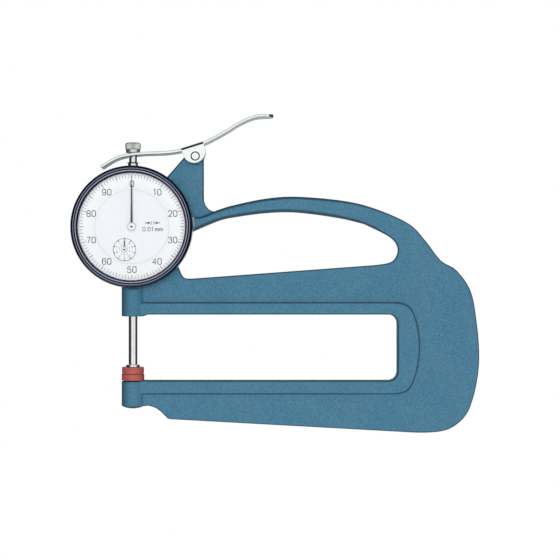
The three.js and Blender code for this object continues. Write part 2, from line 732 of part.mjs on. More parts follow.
function addLever() {
  const top = leverLine();
  const under = top.map(([x, z], i) => {
    const [ax, az] = top[Math.max(0, i - 1)];
    const [bx, bz] = top[Math.min(top.length - 1, i + 1)];
    const length = Math.hypot(bx - ax, bz - az);
    return [x + leverSheet * (bz - az) / length, z - leverSheet * (bx - ax) / length];
  });
  const strip = plate([...under, ...top.slice().reverse()], -leverHalf, leverHalf);
  const earX = pivotReach + earCentre[0];
  const earZ = pivotHeight + earCentre[1];
  const [nx, nz] = stripNormal;
  const rise = stripHeight - leverSheet / 2 - earCentre[0] * nx - earCentre[1] * nz;
  const halfRound = arc(earX, earZ, earRadius, stripLean + Math.PI, stripLean + 2 * Math.PI);
  const ends = [halfRound.at(-1), halfRound[0]].map(([x, z]) => [x + rise * nx, z + rise * nz]);
  const ears = [-leverHalf, leverHalf - leverSheet].map(front =>
    plate([...halfRound, ...ends], front, front + leverSheet));
  const slotLow = slotShift - slotHalfLength + slotHalfWidth;
  const slotHigh = slotShift + slotHalfLength - slotHalfWidth;
  const slotOutline = [
    ...arc(slotHigh, 0, slotHalfWidth, -Math.PI / 2, Math.PI / 2),
    ...arc(slotLow, 0, slotHalfWidth, Math.PI / 2, 1.5 * Math.PI),
  ];
  const slot = new THREE.ExtrudeGeometry(outline(slotOutline), { depth: leverRoom, bevelEnabled: false });
  slot.translate(0, 0, knobSeat - leverRoom);
  const boreFront = -leverHalf - overrun;
  const pinBore = rod(pinRadius + 2 * runGap, boreFront, -boreFront, pivotReach, pivotHeight);
  add('lifting_lever', cut(join(strip, ...ears), body(slot), pinBore), 'nickel');
  add('lever_pivot_pin', turnedY([
    [0, -leverHalf - pinHead], [pinHeadRadius - pinHead / 2, -leverHalf - pinHead],
    [pinHeadRadius, -leverHalf - pinHead / 2], [pinHeadRadius, -leverHalf - seatGap],
    [pinRadius, -leverHalf - seatGap], [pinRadius, leverHalf + seatGap],
    [pinHeadRadius, leverHalf + seatGap], [pinHeadRadius, leverHalf + pinHead / 2],
    [pinHeadRadius - pinHead / 2, leverHalf + pinHead], [0, leverHalf + pinHead],
  ], pivotReach, pivotHeight), 'chrome');
  const washerNear = postBossHalf + seatGap;
  for (const [name, side] of [['pivot_washer_front', -1], ['pivot_washer_rear', 1]]) {
    const faces = [side * washerNear, side * (washerNear + washerSheet)].sort((a, b) => a - b);
    add(name, ringY(pinRadius + pressGap, washerRadius, ...faces, pivotReach, pivotHeight), 'steel');
  }
}

addLever();

// Bezel, glass, spacer and the dial that turns with them

function addBezel() {
  const wall = bezelRadius - windowRadius;
  const depth = bezelBack - bezelFront;
  const face = bezelFaceShares.map(([out, back]) => [windowRadius + out * wall, bezelFront + back * depth]);
  // The front face falls away outwards in two rounded rings with a groove between them
  const bezel = turnedY([
    [windowRadius, lipBack], [windowRadius, bezelFront + edgeRound], ...face,
    [bezelRadius, bezelBack - edgeRound], [bezelRadius - edgeRound, bezelBack],
    [skirtBore, bezelBack], [skirtBore, ringGrooveBack],
    [ringOuter + runGap, ringGrooveBack], [ringOuter + runGap, ringGrooveFront],
    [skirtBore, ringGrooveFront], [skirtBore, lipBack],
  ], 0, dialHeight);
  add('bezel', bezel, 'black');
  const seatRadius = skirtBore - 2 * seatGap;
  add('crystal', rod(seatRadius, glassFront, glassBack, 0, dialHeight), 'glass');
  const spacerBack = dialFront - seatGap;
  add('crystal_spacer', ringY(seatRadius - spacerWall, seatRadius, glassBack + seatGap, spacerBack,
    0, dialHeight), 'black');
  add('dial_ring', ringY(dialJoint + 2 * runGap, seatRadius, dialFront, dialFront + dialSheet,
    0, dialHeight), 'dial');
  const ring = ringY(ringInner, ringOuter, ringGrooveFront + runGap, ringGrooveBack - runGap, 0, dialHeight);
  const mouth = box(-ringMouth / 2, ringMouth / 2, ringGrooveFront, ringGrooveBack,
    dialHeight - ringOuter - overrun, dialHeight - cavityRadius);
  add('bezel_retaining_ring', cut(ring, mouth), 'steel');
}

addBezel();

// Movement plates, pillars, screws and the fixed dial centre

function addPlates() {
  const pillars = pillarAngles.map(angle => around(pillarPitch, angle));
  const screws = plateScrewAngles.map(angle => around(plateScrewPitch, angle));
  const arbors = [[0, dialHeight], [counterX, counterZ], [hairX, hairZ]];
  const pillarHoles = pillars.map(place => circle(spigotRadius + pressGap, ...place));
  const frontHoles = [circle(arborRadius + pivotHole, 0, dialHeight),
    circle(rackArborRadius + pivotHole, counterX, counterZ), circle(arborRadius + pivotHole, hairX, hairZ)];
  const sinks = screws.map(place => turnedY([
    [0, plateFront - overrun], [plateScrewHead + pressGap, plateFront - overrun],
    [plateScrewHead + pressGap, plateFront + plateScrewHeadHeight],
    [plateScrewRadius + pressGap, plateFront + plateScrewHeadHeight + pressGap],
    [plateScrewRadius + pressGap, plateBack + overrun], [0, plateBack + overrun],
  ], ...place));
  const frontPlate = plate(circle(plateRadius, 0, dialHeight), plateFront, plateBack,
    [...pillarHoles, ...frontHoles]);
  add('movement_front_plate', cut(frontPlate, ...sinks), 'brass');
  const cockScrewHole = circle(cockScrewRadius + pressGap, counterX - cockReach, counterZ);
  add('movement_rear_plate', plate(circle(rearPlateRadius, 0, dialHeight), rearPlateFront, rearPlateBack,
    [...pillarHoles, ...frontHoles, cockScrewHole]), 'brass');
  pillars.forEach((place, i) => {
    add(`plate_pillar_${i + 1}`, turnedY([
      [0, plateFront + seatGap], [spigotRadius, plateFront + seatGap], [spigotRadius, plateBack + seatGap],
      [pillarRadius, plateBack + seatGap], [pillarRadius, rearPlateFront - seatGap],
      [spigotRadius, rearPlateFront - seatGap], [spigotRadius, rearPlateBack], [0, rearPlateBack],
    ], ...place), 'brass');
  });
  screws.forEach((place, i) => {
    add(`plate_screw_${i + 1}`, turnedY([
      [0, plateFront], [plateScrewHead, plateFront],
      [plateScrewHead, plateFront + plateScrewHeadHeight - pressGap],
      [plateScrewRadius, plateFront + plateScrewHeadHeight],
      [plateScrewRadius, ledgeFront + plateScrewLength - pressGap],
      [0, ledgeFront + plateScrewLength - pressGap],
    ], ...place), 'steel');
  });
  const centreHoles = arbors.slice(0, 2).map(place => circle(2 * arborRadius, ...place));
  add('dial_centre', plate(circle(dialJoint, 0, dialHeight), dialFront, plateFront - seatGap, centreHoles),
    'dial');
}

addPlates();

// Arbors, wheels and hands

function addTrain() {
  const pivotFront = plateFront + seatGap;
  const hubFront = mainHandFront - seatGap - hubSheet;
  const wheelBack = wheelFront + wheelSheet;
  const pinionBand = [wheelFront - wheelSheet, wheelBack + wheelSheet];
  const valleyAngle = towardsCounter + Math.PI / pinionTeeth;
  const centreLeaves = plate(gear(pinionTeeth, trainModule, valleyAngle, 0, dialHeight), ...pinionBand);
  const centreArbor = rod(arborRadius, hubFront, rearPlateBack, 0, dialHeight);
  add('centre_pinion', join(centreArbor, centreLeaves), 'steel');
  const rackArbor = turnedY([
    [0, counterHandFront], [arborRadius, counterHandFront], [arborRadius, plateFront - seatGap],
    [rackArborRadius, plateFront], [rackArborRadius, cockFront - seatGap],
    [arborRadius / 2, cockFront - seatGap], [arborRadius / 2, cockFront + cockSheet],
    [0, cockFront + cockSheet],
  ], counterX, counterZ);
  const rackLeaves = plate(gear(rackTeeth, rackModule, 0, counterX, counterZ), -rackFaceHalf, rackFaceHalf);
  add('rack_pinion', join(rackArbor, rackLeaves), 'steel');
  const wheelBore = circle(rackArborRadius + pressGap, counterX, counterZ);
  add('first_wheel', plate(gear(wheelTeeth, trainModule, towardsCounter + Math.PI, counterX, counterZ),
    wheelFront, wheelBack, [wheelBore]), 'brass');
  add('hairspring_arbor', rod(arborRadius, pivotFront, rearPlateBack, hairX, hairZ), 'steel');
  add('hairspring_wheel', plate(gear(wheelTeeth, trainModule, towardsCounter, hairX, hairZ),
    wheelFront, wheelBack, [circle(arborRadius + pressGap, hairX, hairZ)]), 'brass');
}

function addHands() {
  const blade = [
    [-mainHandHalf, 0], [mainHandHalf, 0], [mainHandHalf / 2, mainHandWide], [needleHalf, mainHandWide],
    [needleHalf, mainHandReach - 2 * needleHalf], [0, mainHandReach],
    [-needleHalf, mainHandReach - 2 * needleHalf], [-needleHalf, mainHandWide],
    [-mainHandHalf / 2, mainHandWide],
  ].map(([x, z]) => [x, z + dialHeight]);
  const bore = arborRadius + pressGap;
  const handBack = mainHandFront + handSheet;
  const boss = rod(handBossRadius, mainHandFront, handBack + hubSheet, 0, dialHeight);
  const hand = join(plate(blade, mainHandFront, handBack), boss);
  const handBore = rod(bore, mainHandFront - overrun, handBack + overrun, 0, dialHeight);
  add('main_pointer', cut(hand, handBore), 'ink');
  add('pointer_hub', ringY(hubHole, hubRadius, mainHandFront - seatGap - hubSheet, mainHandFront - seatGap,
    0, dialHeight), 'dial');
  const counterBlade = [[-counterHandHalf, 0], [counterHandHalf, 0], [0, counterHandReach]]
    .map(([x, z]) => [x + counterX, z + counterZ]);
  const counterBack = counterHandFront + handSheet;
  const counterBoss = rod(counterBossRadius, counterHandFront, counterBack, counterX, counterZ);
  add('counter_pointer', cut(join(plate(counterBlade, counterHandFront, counterBack), counterBoss),
    rod(bore, counterHandFront - overrun, counterBack + overrun, counterX, counterZ)), 'ink');
}

addTrain();
addHands();

// Rear cock, guide rail, springs and their posts

function addRearWork() {
  const footX = counterX - cockReach;
  const arm = plate([
    ...arc(counterX, counterZ, cockTip, -Math.PI / 2, Math.PI / 2),
    ...arc(footX, counterZ, cockHalf, Math.PI / 2, 1.5 * Math.PI),
  ], cockFront, cockFront + cockSheet);
  const foot = rod(cockHalf, rearPlateBack + seatGap, cockFront + cockSheet, footX, counterZ);
  const hole = rod(cockScrewRadius + pressGap, rearPlateBack - overrun, cockFront + 2 * cockSheet,
    footX, counterZ);
  const pivot = rod(arborRadius / 2 + runGap, cockFront - overrun, cockFront + 2 * cockSheet,
    counterX, counterZ);
  add('rear_cock', cut(join(arm, foot), hole, pivot), 'brass');
  const headFront = cockFront + cockSheet + seatGap;
  add('rear_cock_screw', turnedY([
    [0, rearPlateFront + seatGap], [cockScrewRadius, rearPlateFront + seatGap],
    [cockScrewRadius, headFront], [cockScrewHead, headFront],
    [cockScrewHead, headFront + cockScrewHeadHeight], [0, headFront + cockScrewHeadHeight],
  ], footX, counterZ), 'steel');
  const slotHalf = guidePinRadius + 2 * runGap;
  const rail = box(railInner, railInner + railWidth, rearPlateBack + seatGap, railBack, railLow, railHigh);
  const railSlot = box(railInner - overrun, railInner + railWidth + overrun, -slotHalf, slotHalf,
    railLow + railMargin / 2, railHigh - railMargin / 2);
  add('guide_rail', cut(rail, railSlot), 'steel');
  add('spring_post', rod(guidePinRadius, rearPlateBack + seatGap, springPostBack, springReach, springFoot),
    'steel');
  add('hairspring_stud', rod(hairStud, hairFront, rearPlateFront - seatGap, hairX + hairOuter + 2 * hairStud,
    hairZ), 'brass');
}

addRearWork();

// A coil of round wire between the spring post and the guide pin
class Coil extends THREE.Curve {
  constructor(radius, low, high, turns, x) {
    super();
    Object.assign(this, { radius, low, high, turns, x });
  }

  getPoint(t, target = new THREE.Vector3()) {
    const angle = 2 * Math.PI * this.turns * t;
    return target.set(this.x + this.radius * Math.cos(angle), this.radius * Math.sin(angle),
      this.low + (this.high - this.low) * t);
  }
}

function addSprings() {
  const clear = guidePinRadius + springWire + hookGap;
  const low = springFoot + clear;
  const coil = new Coil(springRadius, low, guidePinHeight - clear, springTurns, springReach);
  const wire = outline(Array.from({ length: wireSides }, (_, i) => {
    const angle = 2 * Math.PI * i / wireSides;
    return [springWire * Math.cos(angle), springWire * Math.sin(angle)];
  }));
  const geometry = new THREE.ExtrudeGeometry(wire, { steps: stepsPerTurn * springTurns, extrudePath: coil });
  add('return_spring', body(geometry), 'steel');
  const steps = 2 * stepsPerTurn * hairTurns;
  const side = offset => Array.from({ length: steps + 1 }, (_, i) => {
    const angle = 2 * Math.PI * hairTurns * i / steps;
    const radius = hairInner + (hairOuter - hairInner) * i / steps + offset;
    return [hairX + radius * Math.cos(angle), hairZ + radius * Math.sin(angle)];
  });
  add('hairspring', plate([...side(hairStrip / 2), ...side(-hairStrip / 2).reverse()], hairFront,
    hairFront + hairWidth), 'steel');
}

addSprings();

// Case back and its screws

function addCaseBack() {
  const screws = coverScrewAngles.map(angle => around(coverScrewPitch, angle));
  const disc = turnedY([
    [0, coverFront], [coverRadius, coverFront], [coverRadius, coverBack - coverSheet / 2],
    [coverRadius - coverSheet / 2, coverBack], [coverLandRadius + coverLand, coverBack],
    [coverLandRadius, coverBack + coverLand], [0, coverBack + coverLand],
  ], 0, dialHeight);
  const holes = screws.map(place => rod(coverScrewRadius + pressGap, coverFront - overrun,
    coverBack + coverLand + overrun, ...place));
  add('back_cover', cut(disc, ...holes), 'black');
  screws.forEach((place, i) => {
    const head = coverBack + seatGap;
    const tip = caseBack - coverScrewLength + pressGap;
    add(`back_cover_screw_${i + 1}`, turnedY([
      [0, tip], [coverScrewRadius, tip], [coverScrewRadius, head], [coverScrewHead, head],
      [coverScrewHead, head + coverScrewHeadHeight / 2],
      [coverScrewHead - coverScrewHeadHeight / 2, head + coverScrewHeadHeight],
      [0, head + coverScrewHeadHeight],
    ], ...place), 'steel');
  });
}

addCaseBack();

export default gauge;
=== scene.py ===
"""Looks of a dial thickness gauge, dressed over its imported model.

Every piece is modelled in millimetres round the spindle: x runs right from the spindle's axis,
y runs back from the dial's front, and z runs up from the anvil's face. The last step of each piece
sets it in metres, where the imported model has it.
"""
import math

import bpy
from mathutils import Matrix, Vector


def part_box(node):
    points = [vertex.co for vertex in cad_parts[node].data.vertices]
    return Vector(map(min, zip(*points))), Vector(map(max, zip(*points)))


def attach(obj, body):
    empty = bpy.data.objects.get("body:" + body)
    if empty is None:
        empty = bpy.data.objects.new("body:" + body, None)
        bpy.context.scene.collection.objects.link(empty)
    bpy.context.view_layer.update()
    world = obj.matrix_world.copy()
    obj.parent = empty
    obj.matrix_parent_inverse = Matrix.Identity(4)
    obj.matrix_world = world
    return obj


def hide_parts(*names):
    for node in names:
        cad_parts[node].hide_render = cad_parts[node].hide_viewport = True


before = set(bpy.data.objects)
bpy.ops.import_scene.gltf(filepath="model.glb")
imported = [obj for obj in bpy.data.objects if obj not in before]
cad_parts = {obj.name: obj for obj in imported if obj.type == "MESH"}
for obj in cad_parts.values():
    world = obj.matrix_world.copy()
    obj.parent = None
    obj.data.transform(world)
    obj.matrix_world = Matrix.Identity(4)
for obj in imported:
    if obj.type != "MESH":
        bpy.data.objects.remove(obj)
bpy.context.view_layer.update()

MM = 0.001
SHARP_ANGLE = math.radians(35)
SPINDLE_LOW, SPINDLE_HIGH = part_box("spindle")
ORIGIN = Vector(((SPINDLE_LOW.x + SPINDLE_HIGH.x) / 2, 0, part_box("anvil_disc")[1].z))


def span(node):
    """Lowest and highest corner of a node, in millimetres round the spindle."""
    low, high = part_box(node)
    return (low - ORIGIN) / MM, (high - ORIGIN) / MM


def radius_of(node):
    low, high = span(node)
    return (high.x - low.x) / 2


def depths(node):
    """A node's front and back faces."""
    low, high = span(node)
    return low.y, high.y


def heights(node):
    low, high = span(node)
    return low.z, high.z


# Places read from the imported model
CASTING_LOW, CASTING_HIGH = span("frame_casting")
REACH = CASTING_HIGH.x
HEEL_DROP = -CASTING_LOW.z
DIAL_HEIGHT = sum(heights("dial_ring")) / 2
HANDLE_RISE = 13.8
HANDLE_TOP = DIAL_HEIGHT + HANDLE_RISE
PIVOT_X = sum(corner.x for corner in span("lever_pivot_pin")) / 2
PIVOT_Z = sum(heights("lever_pivot_pin")) / 2
LEVER_LOW, LEVER_HIGH = span("lifting_lever")
LEVER_HALF = LEVER_HIGH.y
ANVIL_HEIGHT = -heights("anvil_disc")[0]
BEZEL_RADIUS = radius_of("bezel")
BEZEL_FRONT, BEZEL_BACK = depths("bezel")
COUNTER_X = sum(corner.x for corner in span("rack_pinion")) / 2
COUNTER_Z = sum(heights("rack_pinion")) / 2
DIAL_CENTRE = (0, 0, DIAL_HEIGHT)
DIAL_FRONT = depths("dial_ring")[0]
PIVOT = (PIVOT_X, 0, PIVOT_Z)
COUNTER = (COUNTER_X, 0, COUNTER_Z)

# Casting
GAPE = 27.0
THROAT_DEPTH = 120.2
THROAT_CORNER = 4.0
RIM_BAND = 5.6
LOWER_RIM_BAND = 6.2
RIM_BULGE = 10.1
RIM_BITE = 2.0
WEB_HALF = 2.0
RIM_HALF = 3.75
HANDLE_HALF = 4.0
HANDLE_THIN = 1.5
HANDLE_FADE = (87.0, 127.0)
WEB_ROUND = 0.8
RIM_ROUND = 0.95
HANDLE_ROUND = 1.7
BAR_STEP = 5.0
BOSS_RADIUS = 5.15
BOSS_ROUND = 0.5
STEM_DROP = 0.8
STEM_RUNOUT = 1.8
STEM_LIP = 0.15
ANVIL_BOSS_FOOT = -14.6
ANVIL_BOSS_TOP = -3.28
BOSS_DOME = 1.1
BOSS_RISE = 0.2
BOSS_CHAMFER = 0.3
BOSS_ROOM = 0.1
POST_RADIUS = 3.75
POST_SLOPE = math.radians(49)
POST_FILLET = 4.8
POST_ROOT = 73.95
POST_TOE = (38.4, 72.3)
POST_STRETCH = 1.3
PIVOT_BOSS_HALF = 4.0
PIVOT_BOSS_ROUND = 0.3
CASE_RADIUS = BEZEL_RADIUS - 1.5
NECK_RADIUS = BEZEL_RADIUS - 2.55
RECESS_RADIUS = 23.2
CAVITY_RADIUS = 21.0
RELIEF_RADIUS = BEZEL_RADIUS + 0.85
NECK_FRONT = -6.3
LEDGE_FRONT = -5.6
CASE_FRONT = -3.0
RELIEF_FACE = -3.12
BAND_MARGIN = 0.05
CASE_BACK = CASTING_HIGH.y
RING_BORE = 19.0
CASE_ROUND = 0.4
STEM_BORE = 3.05
TOP_BORE = 2.35
OVERRUN = 2.0

# Outlines, as shares of the frame's reach and of its handle's top or its heel's drop
ARCH = [(0, -0.54), (0.033, -0.548), (0.044, -0.541), (0.056, -0.558), (0.068, -0.587),
        (0.079, -0.633), (0.0905, -0.699), (0.1023, -0.769)]
BOW = [(0.750, -0.978), (0.845, -1.0), (0.912, -0.940), (0.959, -0.723), (0.982, -0.423),
       (0.997, 0), (1.0, 0.132), (0.993, 0.292), (0.976, 0.466), (0.935, 0.584), (0.889, 0.642),
       (0.843, 0.757), (0.797, 0.848), (0.704, 0.930), (0.611, 0.976)]
HANDLE_OVER = [(0.611, 0.976), (0.473, 1.0), (0.380, 0.988), (0.287, 0.950), (0.241, 0.922),
               (0.190, 0.886), (0.152, 0.902)]
HOLE_UNDER = [(0.668, 0.847), (0.591, 0.882), (0.473, 0.912), (0.385, 0.909), (0.296, 0.886),
              (0.251, 0.867), (0.152, 0.785)]
HOLE_END = [(0.668, 0.847), (0.744, 0.771), (0.766, 0.703), (0.750, 0.636), (0.704, 0.6155)]
HOLE_FOOT = [(0.183, 0.540), (0.148, 0.544), (0.132, 0.602)]
BAR_OUTER = [*reversed(HANDLE_OVER), (0.704, 0.930), (0.797, 0.848), (0.838, 0.768)]
BAR_INNER = [(0.152, 0.785), (0.194, 0.824), *reversed(HOLE_UNDER[1:-1]), (0.673, 0.843),
             (0.744, 0.771), (0.772, 0.703)]

# Ends of the throat's rim and the anvil's boss, as shares of how far each bulges and how wide it is
RIM_END = [(-1.2, 1), (-0.80, 0.985), (-0.46, 0.90), (-0.27, 0.755), (-0.13, 0.56), (-0.03, 0.30),
           (0, 0.05), (-0.03, -0.22), (-0.12, -0.46), (-0.26, -0.69), (-0.50, -0.90),
           (-0.85, -0.985), (-1.2, -1)]
DOME = [(0, 1), (0.3, 0.95), (0.6, 0.68), (0.86, 0.26)]

# Spindle, bushes and contacts
SPINDLE_RADIUS = 2.0
UPPER_RADIUS = 1.8
THREAD_RADIUS = 1.2
SHOULDER_DROP = 12.0
SEAT_GAP = 0.05
RACK_DROP = 12
RACK_TEETH = 22
RACK_PITCH = 0.625
RACK_ROOT = 1.48
RACK_TIP = 1.85
DISC_TAPER = 0.1
DISC_CHAMFER = 0.4
FACE_CHAMFER = 0.3
STUD_CORE = 1.5
STUD_THREAD = 1.0
COLLAR_HEIGHT = 1.0
SHANK_RADIUS = 2.0
STEM_BUSH_BORE = 2.06
TOP_BUSH_BORE = 1.86
TOP_BUSH_RADIUS = 2.3
FLANGE = 0.2
FLANGE_STEPS = (0.65, 0.4, 0.28)
KNOB_RIBS = 72
KNOB_RIB = 0.05
KNOB_COLLAR = 3.2
KNOB_COLLAR_RISE = 1.4
KNOB_NECK = 0.35
KNOB_CHAMFER = 0.5
KNOB_BORE = 1.25
KNOB_BORE_DEPTH = 3.45

# Lever, its line as shares of the pivot's reach and drop and of the thumb arm's reach and rise
SHEET = 1.2
SHEET_ROUND = 0.28
THUMB_ARM = 35.4
THUMB_RISE = 19.0
PIVOT_DROP = 1.8
EAR_RADIUS = 5.2
EAR_SHIFT = (-0.6, 2.1)
LEVER_CORNER = 4.2
LEVER_NOSE_CORNER = 0.5
TIP_MARGIN = 0.4
EAR_SHEET = 1.25
EAR_ROUND = 0.15
SADDLE_DEPTH = 1.9
SADDLE_LIFT = 0.25
SADDLE_CHAMFER = 1.1
SLOT_HALF_WIDTH = 2.4
SLOT_HALF_LENGTH = 4.3
SLOT_SHIFT = -0.8
PIN_BORE = 1.6
PIN_SHANK = 1.5
PIN_HEAD = 2.1
PIN_CROWN = 1.57
PIN_RIM = 0.37
PIN_GAP = 0.03
WASHER_BORE = 1.55
FRONT_ARM = [(1.508, -2.50), (1.354, -0.94), (1.242, -0.05), (1.130, 0.45), (0.979, 0.83),
             (0.800, 1.06), (0.467, 1.28), (0.214, 1.89)]
THUMB_END = [(0.096, 0.337), (0.373, 0.606), (0.520, 0.778), (0.667, 0.914), (0.774, 0.980),
             (0.884, 1), (1, 1)]

# Bezel, each bead as (radius, distance back, size), and its edges as (inset, distance back)
WINDOW_RADIUS = 24.1
FIRST_BEAD = (25.1, 0.43, 0.43)
SECOND_BEAD = (26.12, 0.92, 0.44)
BEAD_GROOVE = (25.6, 0.95)
WINDOW_LIP = 1.05
SHOULDER = [(0.62, 1.30), (0.34, 1.62), (0.12, 2.1), (0, 2.8)]
FINGER_GROOVE = [(0, -6.6), (0.25, -6.4), (0.25, -6.1), (0, -5.9)]
BEZEL_CHAMFER = 0.5
GLASS_GAP = 0.1

# Dial print and hands: the stroke as (place, half width, half height), each word as (text, place,
# height, stretch), digits as (radius, height) and the counter's dots as (inwards, outwards, width)
TICK_END = 23.6
LONG_TICK = 21.7
SHORT_TICK = 22.1
LONG_TICK_WIDTH = 0.25
SHORT_TICK_WIDTH = 0.2
NUMBER_RADIUS = 19.3
NUMBER_HEIGHT = 3.0
INK = 0.03
DIAL_JOINT = 16.7
JOINT_GAP = 0.05
MARK_X = 9.3
MARK_RISE = 1.75
STROKE = (0.6, 0.12, 0.95)
ARROW = [(0.75, 0), (2.2, 0.6), (2.2, 0.17), (3.4, 0.17), (3.4, -0.17), (2.2, -0.17), (2.2, -0.6)]
WORDS_DROP = 1.1
WORDS = [("0.01", -2.03, 2.0, 1.0), ("mm", 2.85, 2.0, 1.22)]
COUNTER_SCALE = 5.05
COUNTER_LINE = 0.22
COUNTER_HUB = 1.35
COUNTER_DIGITS = (3.7, 0.95)
COUNTER_INNER_DIGITS = (2.3, 0.66)
COUNTER_DOT = (0.6, 0.16, 0.42)
HAND_HOLE = 0.8
COUNTER_HOLE = 0.6
BLADE_REACH = 18.7
BLADE_DEPTH = 0.2
HUB_BORE = 0.5
HUB_STEP = 0.12

# Back cover
COVER_SHEET = 1.0
COVER_LAND = 20.5
COVER_GROOVE = 0.25
SCREW_HEAD = 0.6
SCREW_SHANK = 0.8
SCREW_SLOT = 0.18
SCREW_SLOT_DEPTH = 0.35

# Figures drawn with one pen, as shares of their height: corners with how far each is rounded
PEN = 0.13
CORNER_STEPS = (0, 0.2, 0.4, 0.6, 0.8, 1)
LOOP_GAP = 0.002
FIGURE_PITCH = 0.77
NARROW = {".": 0.36, "1": 0.68}
FIGURES = {
    "0": [[(-0.26, -0.435, 0.22), (0.26, -0.435, 0.22), (0.26, 0.435, 0.22),
           (-0.26, 0.435, 0.22), "loop"]],
    "1": [[(-0.14, 0.26, 0), (0.07, 0.435, 0), (0.07, -0.435, 0)]],
    "2": [[(-0.25, 0.2, 0), (-0.25, 0.435, 0.2), (0.25, 0.435, 0.2), (0.25, 0.04, 0.12),
           (-0.25, -0.435, 0), (0.27, -0.435, 0)]],
    "3": [[(-0.25, 0.24, 0), (-0.25, 0.435, 0.18), (0.23, 0.435, 0.18), (0.23, 0.03, 0.18),
           (-0.06, 0.03, 0)],
          [(-0.06, 0.03, 0), (0.26, 0.03, 0.2), (0.26, -0.435, 0.2), (-0.26, -0.435, 0.18),
           (-0.26, -0.22, 0)]],
    "4": [[(0.12, -0.435, 0), (0.12, 0.435, 0), (-0.27, -0.17, 0), (0.28, -0.17, 0)]],
    "5": [[(0.23, 0.435, 0), (-0.2, 0.435, 0), (-0.24, 0.08, 0), (0.26, 0.1, 0.2),
           (0.26, -0.435, 0.22), (-0.26, -0.435, 0.18), (-0.26, -0.24, 0)]],
    "6": [[(0.25, 0.24, 0), (0.25, 0.435, 0.18), (-0.26, 0.435, 0.22), (-0.26, -0.435, 0.22),
           (0.26, -0.435, 0.22), (0.26, 0.09, 0.18), (-0.24, 0.09, 0)]],
    "7": [[(-0.26, 0.435, 0), (0.26, 0.435, 0), (-0.07, -0.435, 0)]],
    "8": [[(-0.23, 0.03, 0.16), (0.23, 0.03, 0.16), (0.23, 0.435, 0.18),
           (-0.23, 0.435, 0.18), "loop"],
          [(-0.26, -0.435, 0.2), (0.26, -0.435, 0.2), (0.26, 0.03, 0.16),
           (-0.26, 0.03, 0.16), "loop"]],
    ".": [[(0, -0.435, 0), (0, -0.36, 0)]],
    "m": [[(-0.27, -0.435, 0), (-0.27, 0.16, 0.12), (0.01, 0.16, 0.12), (0.01, -0.435, 0)],
          [(0.01, -0.1, 0), (0.01, 0.16, 0.12), (0.29, 0.16, 0.12), (0.29, -0.435, 0)]],
}

# View of the photograph and studio: the view in millimetres, floor and lamps in metres
VIEW_CENTRE = (66.92, 42.70)
VIEW_EYE = (50.0, 45.0)
VIEW_DISTANCE = 660.0
VIEW_WIDTH = 255.0
SENSOR = 36
FLOOR_DEPTH = -0.45
FLOOR_RADIUS = 1.25
FLOOR_FADE = (0.45, 1.2)
LAMP_AIM = (-0.01, 0, -0.03)
LAMPS = {
    "key_lamp": ((-0.15, -1.5, 0.18), 0.7, 10.9),
    "fill_lamp": ((0.25, -1.5, -0.05), 0.8, 7.1),
    "back_lamp": ((0.2, 1.3, 0.6), 1.0, 5.0),
}


# Modelling


def only(piece):
    """Leaves one piece selected, in object mode."""
    if bpy.context.object and bpy.context.object.mode != "OBJECT":
        bpy.ops.object.mode_set(mode="OBJECT")
    bpy.ops.object.select_all(action="DESELECT")
    piece.select_set(True)
    bpy.context.view_layer.objects.active = piece


def start(name, place):
    """A new piece with one point, in edit mode."""
    if bpy.context.object and bpy.context.object.mode != "OBJECT":
        bpy.ops.object.mode_set(mode="OBJECT")
    bpy.ops.object.select_all(action="DESELECT")
    bpy.ops.mesh.primitive_plane_add(size=1, location=place)
    piece = bpy.context.object
    piece.name = name
    piece.data.name = name
    bpy.ops.object.mode_set(mode="EDIT")
    bpy.ops.mesh.select_mode(type="VERT")
    bpy.ops.mesh.merge(type="CENTER")
    return piece


def extrude_along(places):
    for here, there in zip(places, places[1:]):
        bpy.ops.mesh.extrude_vertices_move(TRANSFORM_OT_translate={"value": there - here})


def weld():
    bpy.ops.mesh.select_all(action="SELECT")
    bpy.ops.mesh.remove_doubles(threshold=0.0005)


def face_outwards():
    bpy.ops.mesh.select_all(action="SELECT")
    bpy.ops.mesh.normals_make_consistent(inside=False)


def turned(name, profile, centre=(0, 0, 0), axis="Y", steps=128):
    """Spins a profile of (radius, place along the axis) round that axis."""
    along = Vector((0, 1, 0)) if axis == "Y" else Vector((0, 0, 1))
    centre = Vector(centre)
    places = [centre + Vector((radius, 0, 0)) + along * height for radius, height in profile]
    piece = start(name, places[0])
    extrude_along(places)
    weld()
    bpy.ops.mesh.select_all(action="SELECT")
    bpy.ops.mesh.spin(steps=steps, angle=2 * math.pi, center=centre, axis=along)
    weld()
    face_outwards()
    bpy.ops.object.mode_set(mode="OBJECT")
    return piece


def closed(profile):
    return [*profile, profile[0]]


def bar(radius, low, high):
    """Profile of a plain round bar."""
    return [(0, low), (radius, low), (radius, high), (0, high)]


def tube(bore, radius, low, high):
    """Profile of a plain ring."""
    return closed([(bore, low), (radius, low), (radius, high), (bore, high)])


def oblong(left, right, low, high):
    return [(left, low), (right, low), (right, high), (left, high)]


def prism(name, places, along):
    """Draws an outline, fills it and draws it out along a way."""
    piece = start(name, places[0])
    extrude_along(closed(places))
    weld()
    bpy.ops.mesh.edge_face_add()
    bpy.ops.mesh.extrude_region_move(TRANSFORM_OT_translate={"value": along})
    face_outwards()
    bpy.ops.object.mode_set(mode="OBJECT")
    return piece


def slab(name, outline, low, high, facing="Y"):
    """Outline seen from the front or from above, with thickness."""
    if facing == "Y":
        return prism(name, [Vector((u, low, v)) for u, v in outline], Vector((0, high - low, 0)))
    return prism(name, [Vector((u, v, low)) for u, v in outline], Vector((0, 0, high - low)))


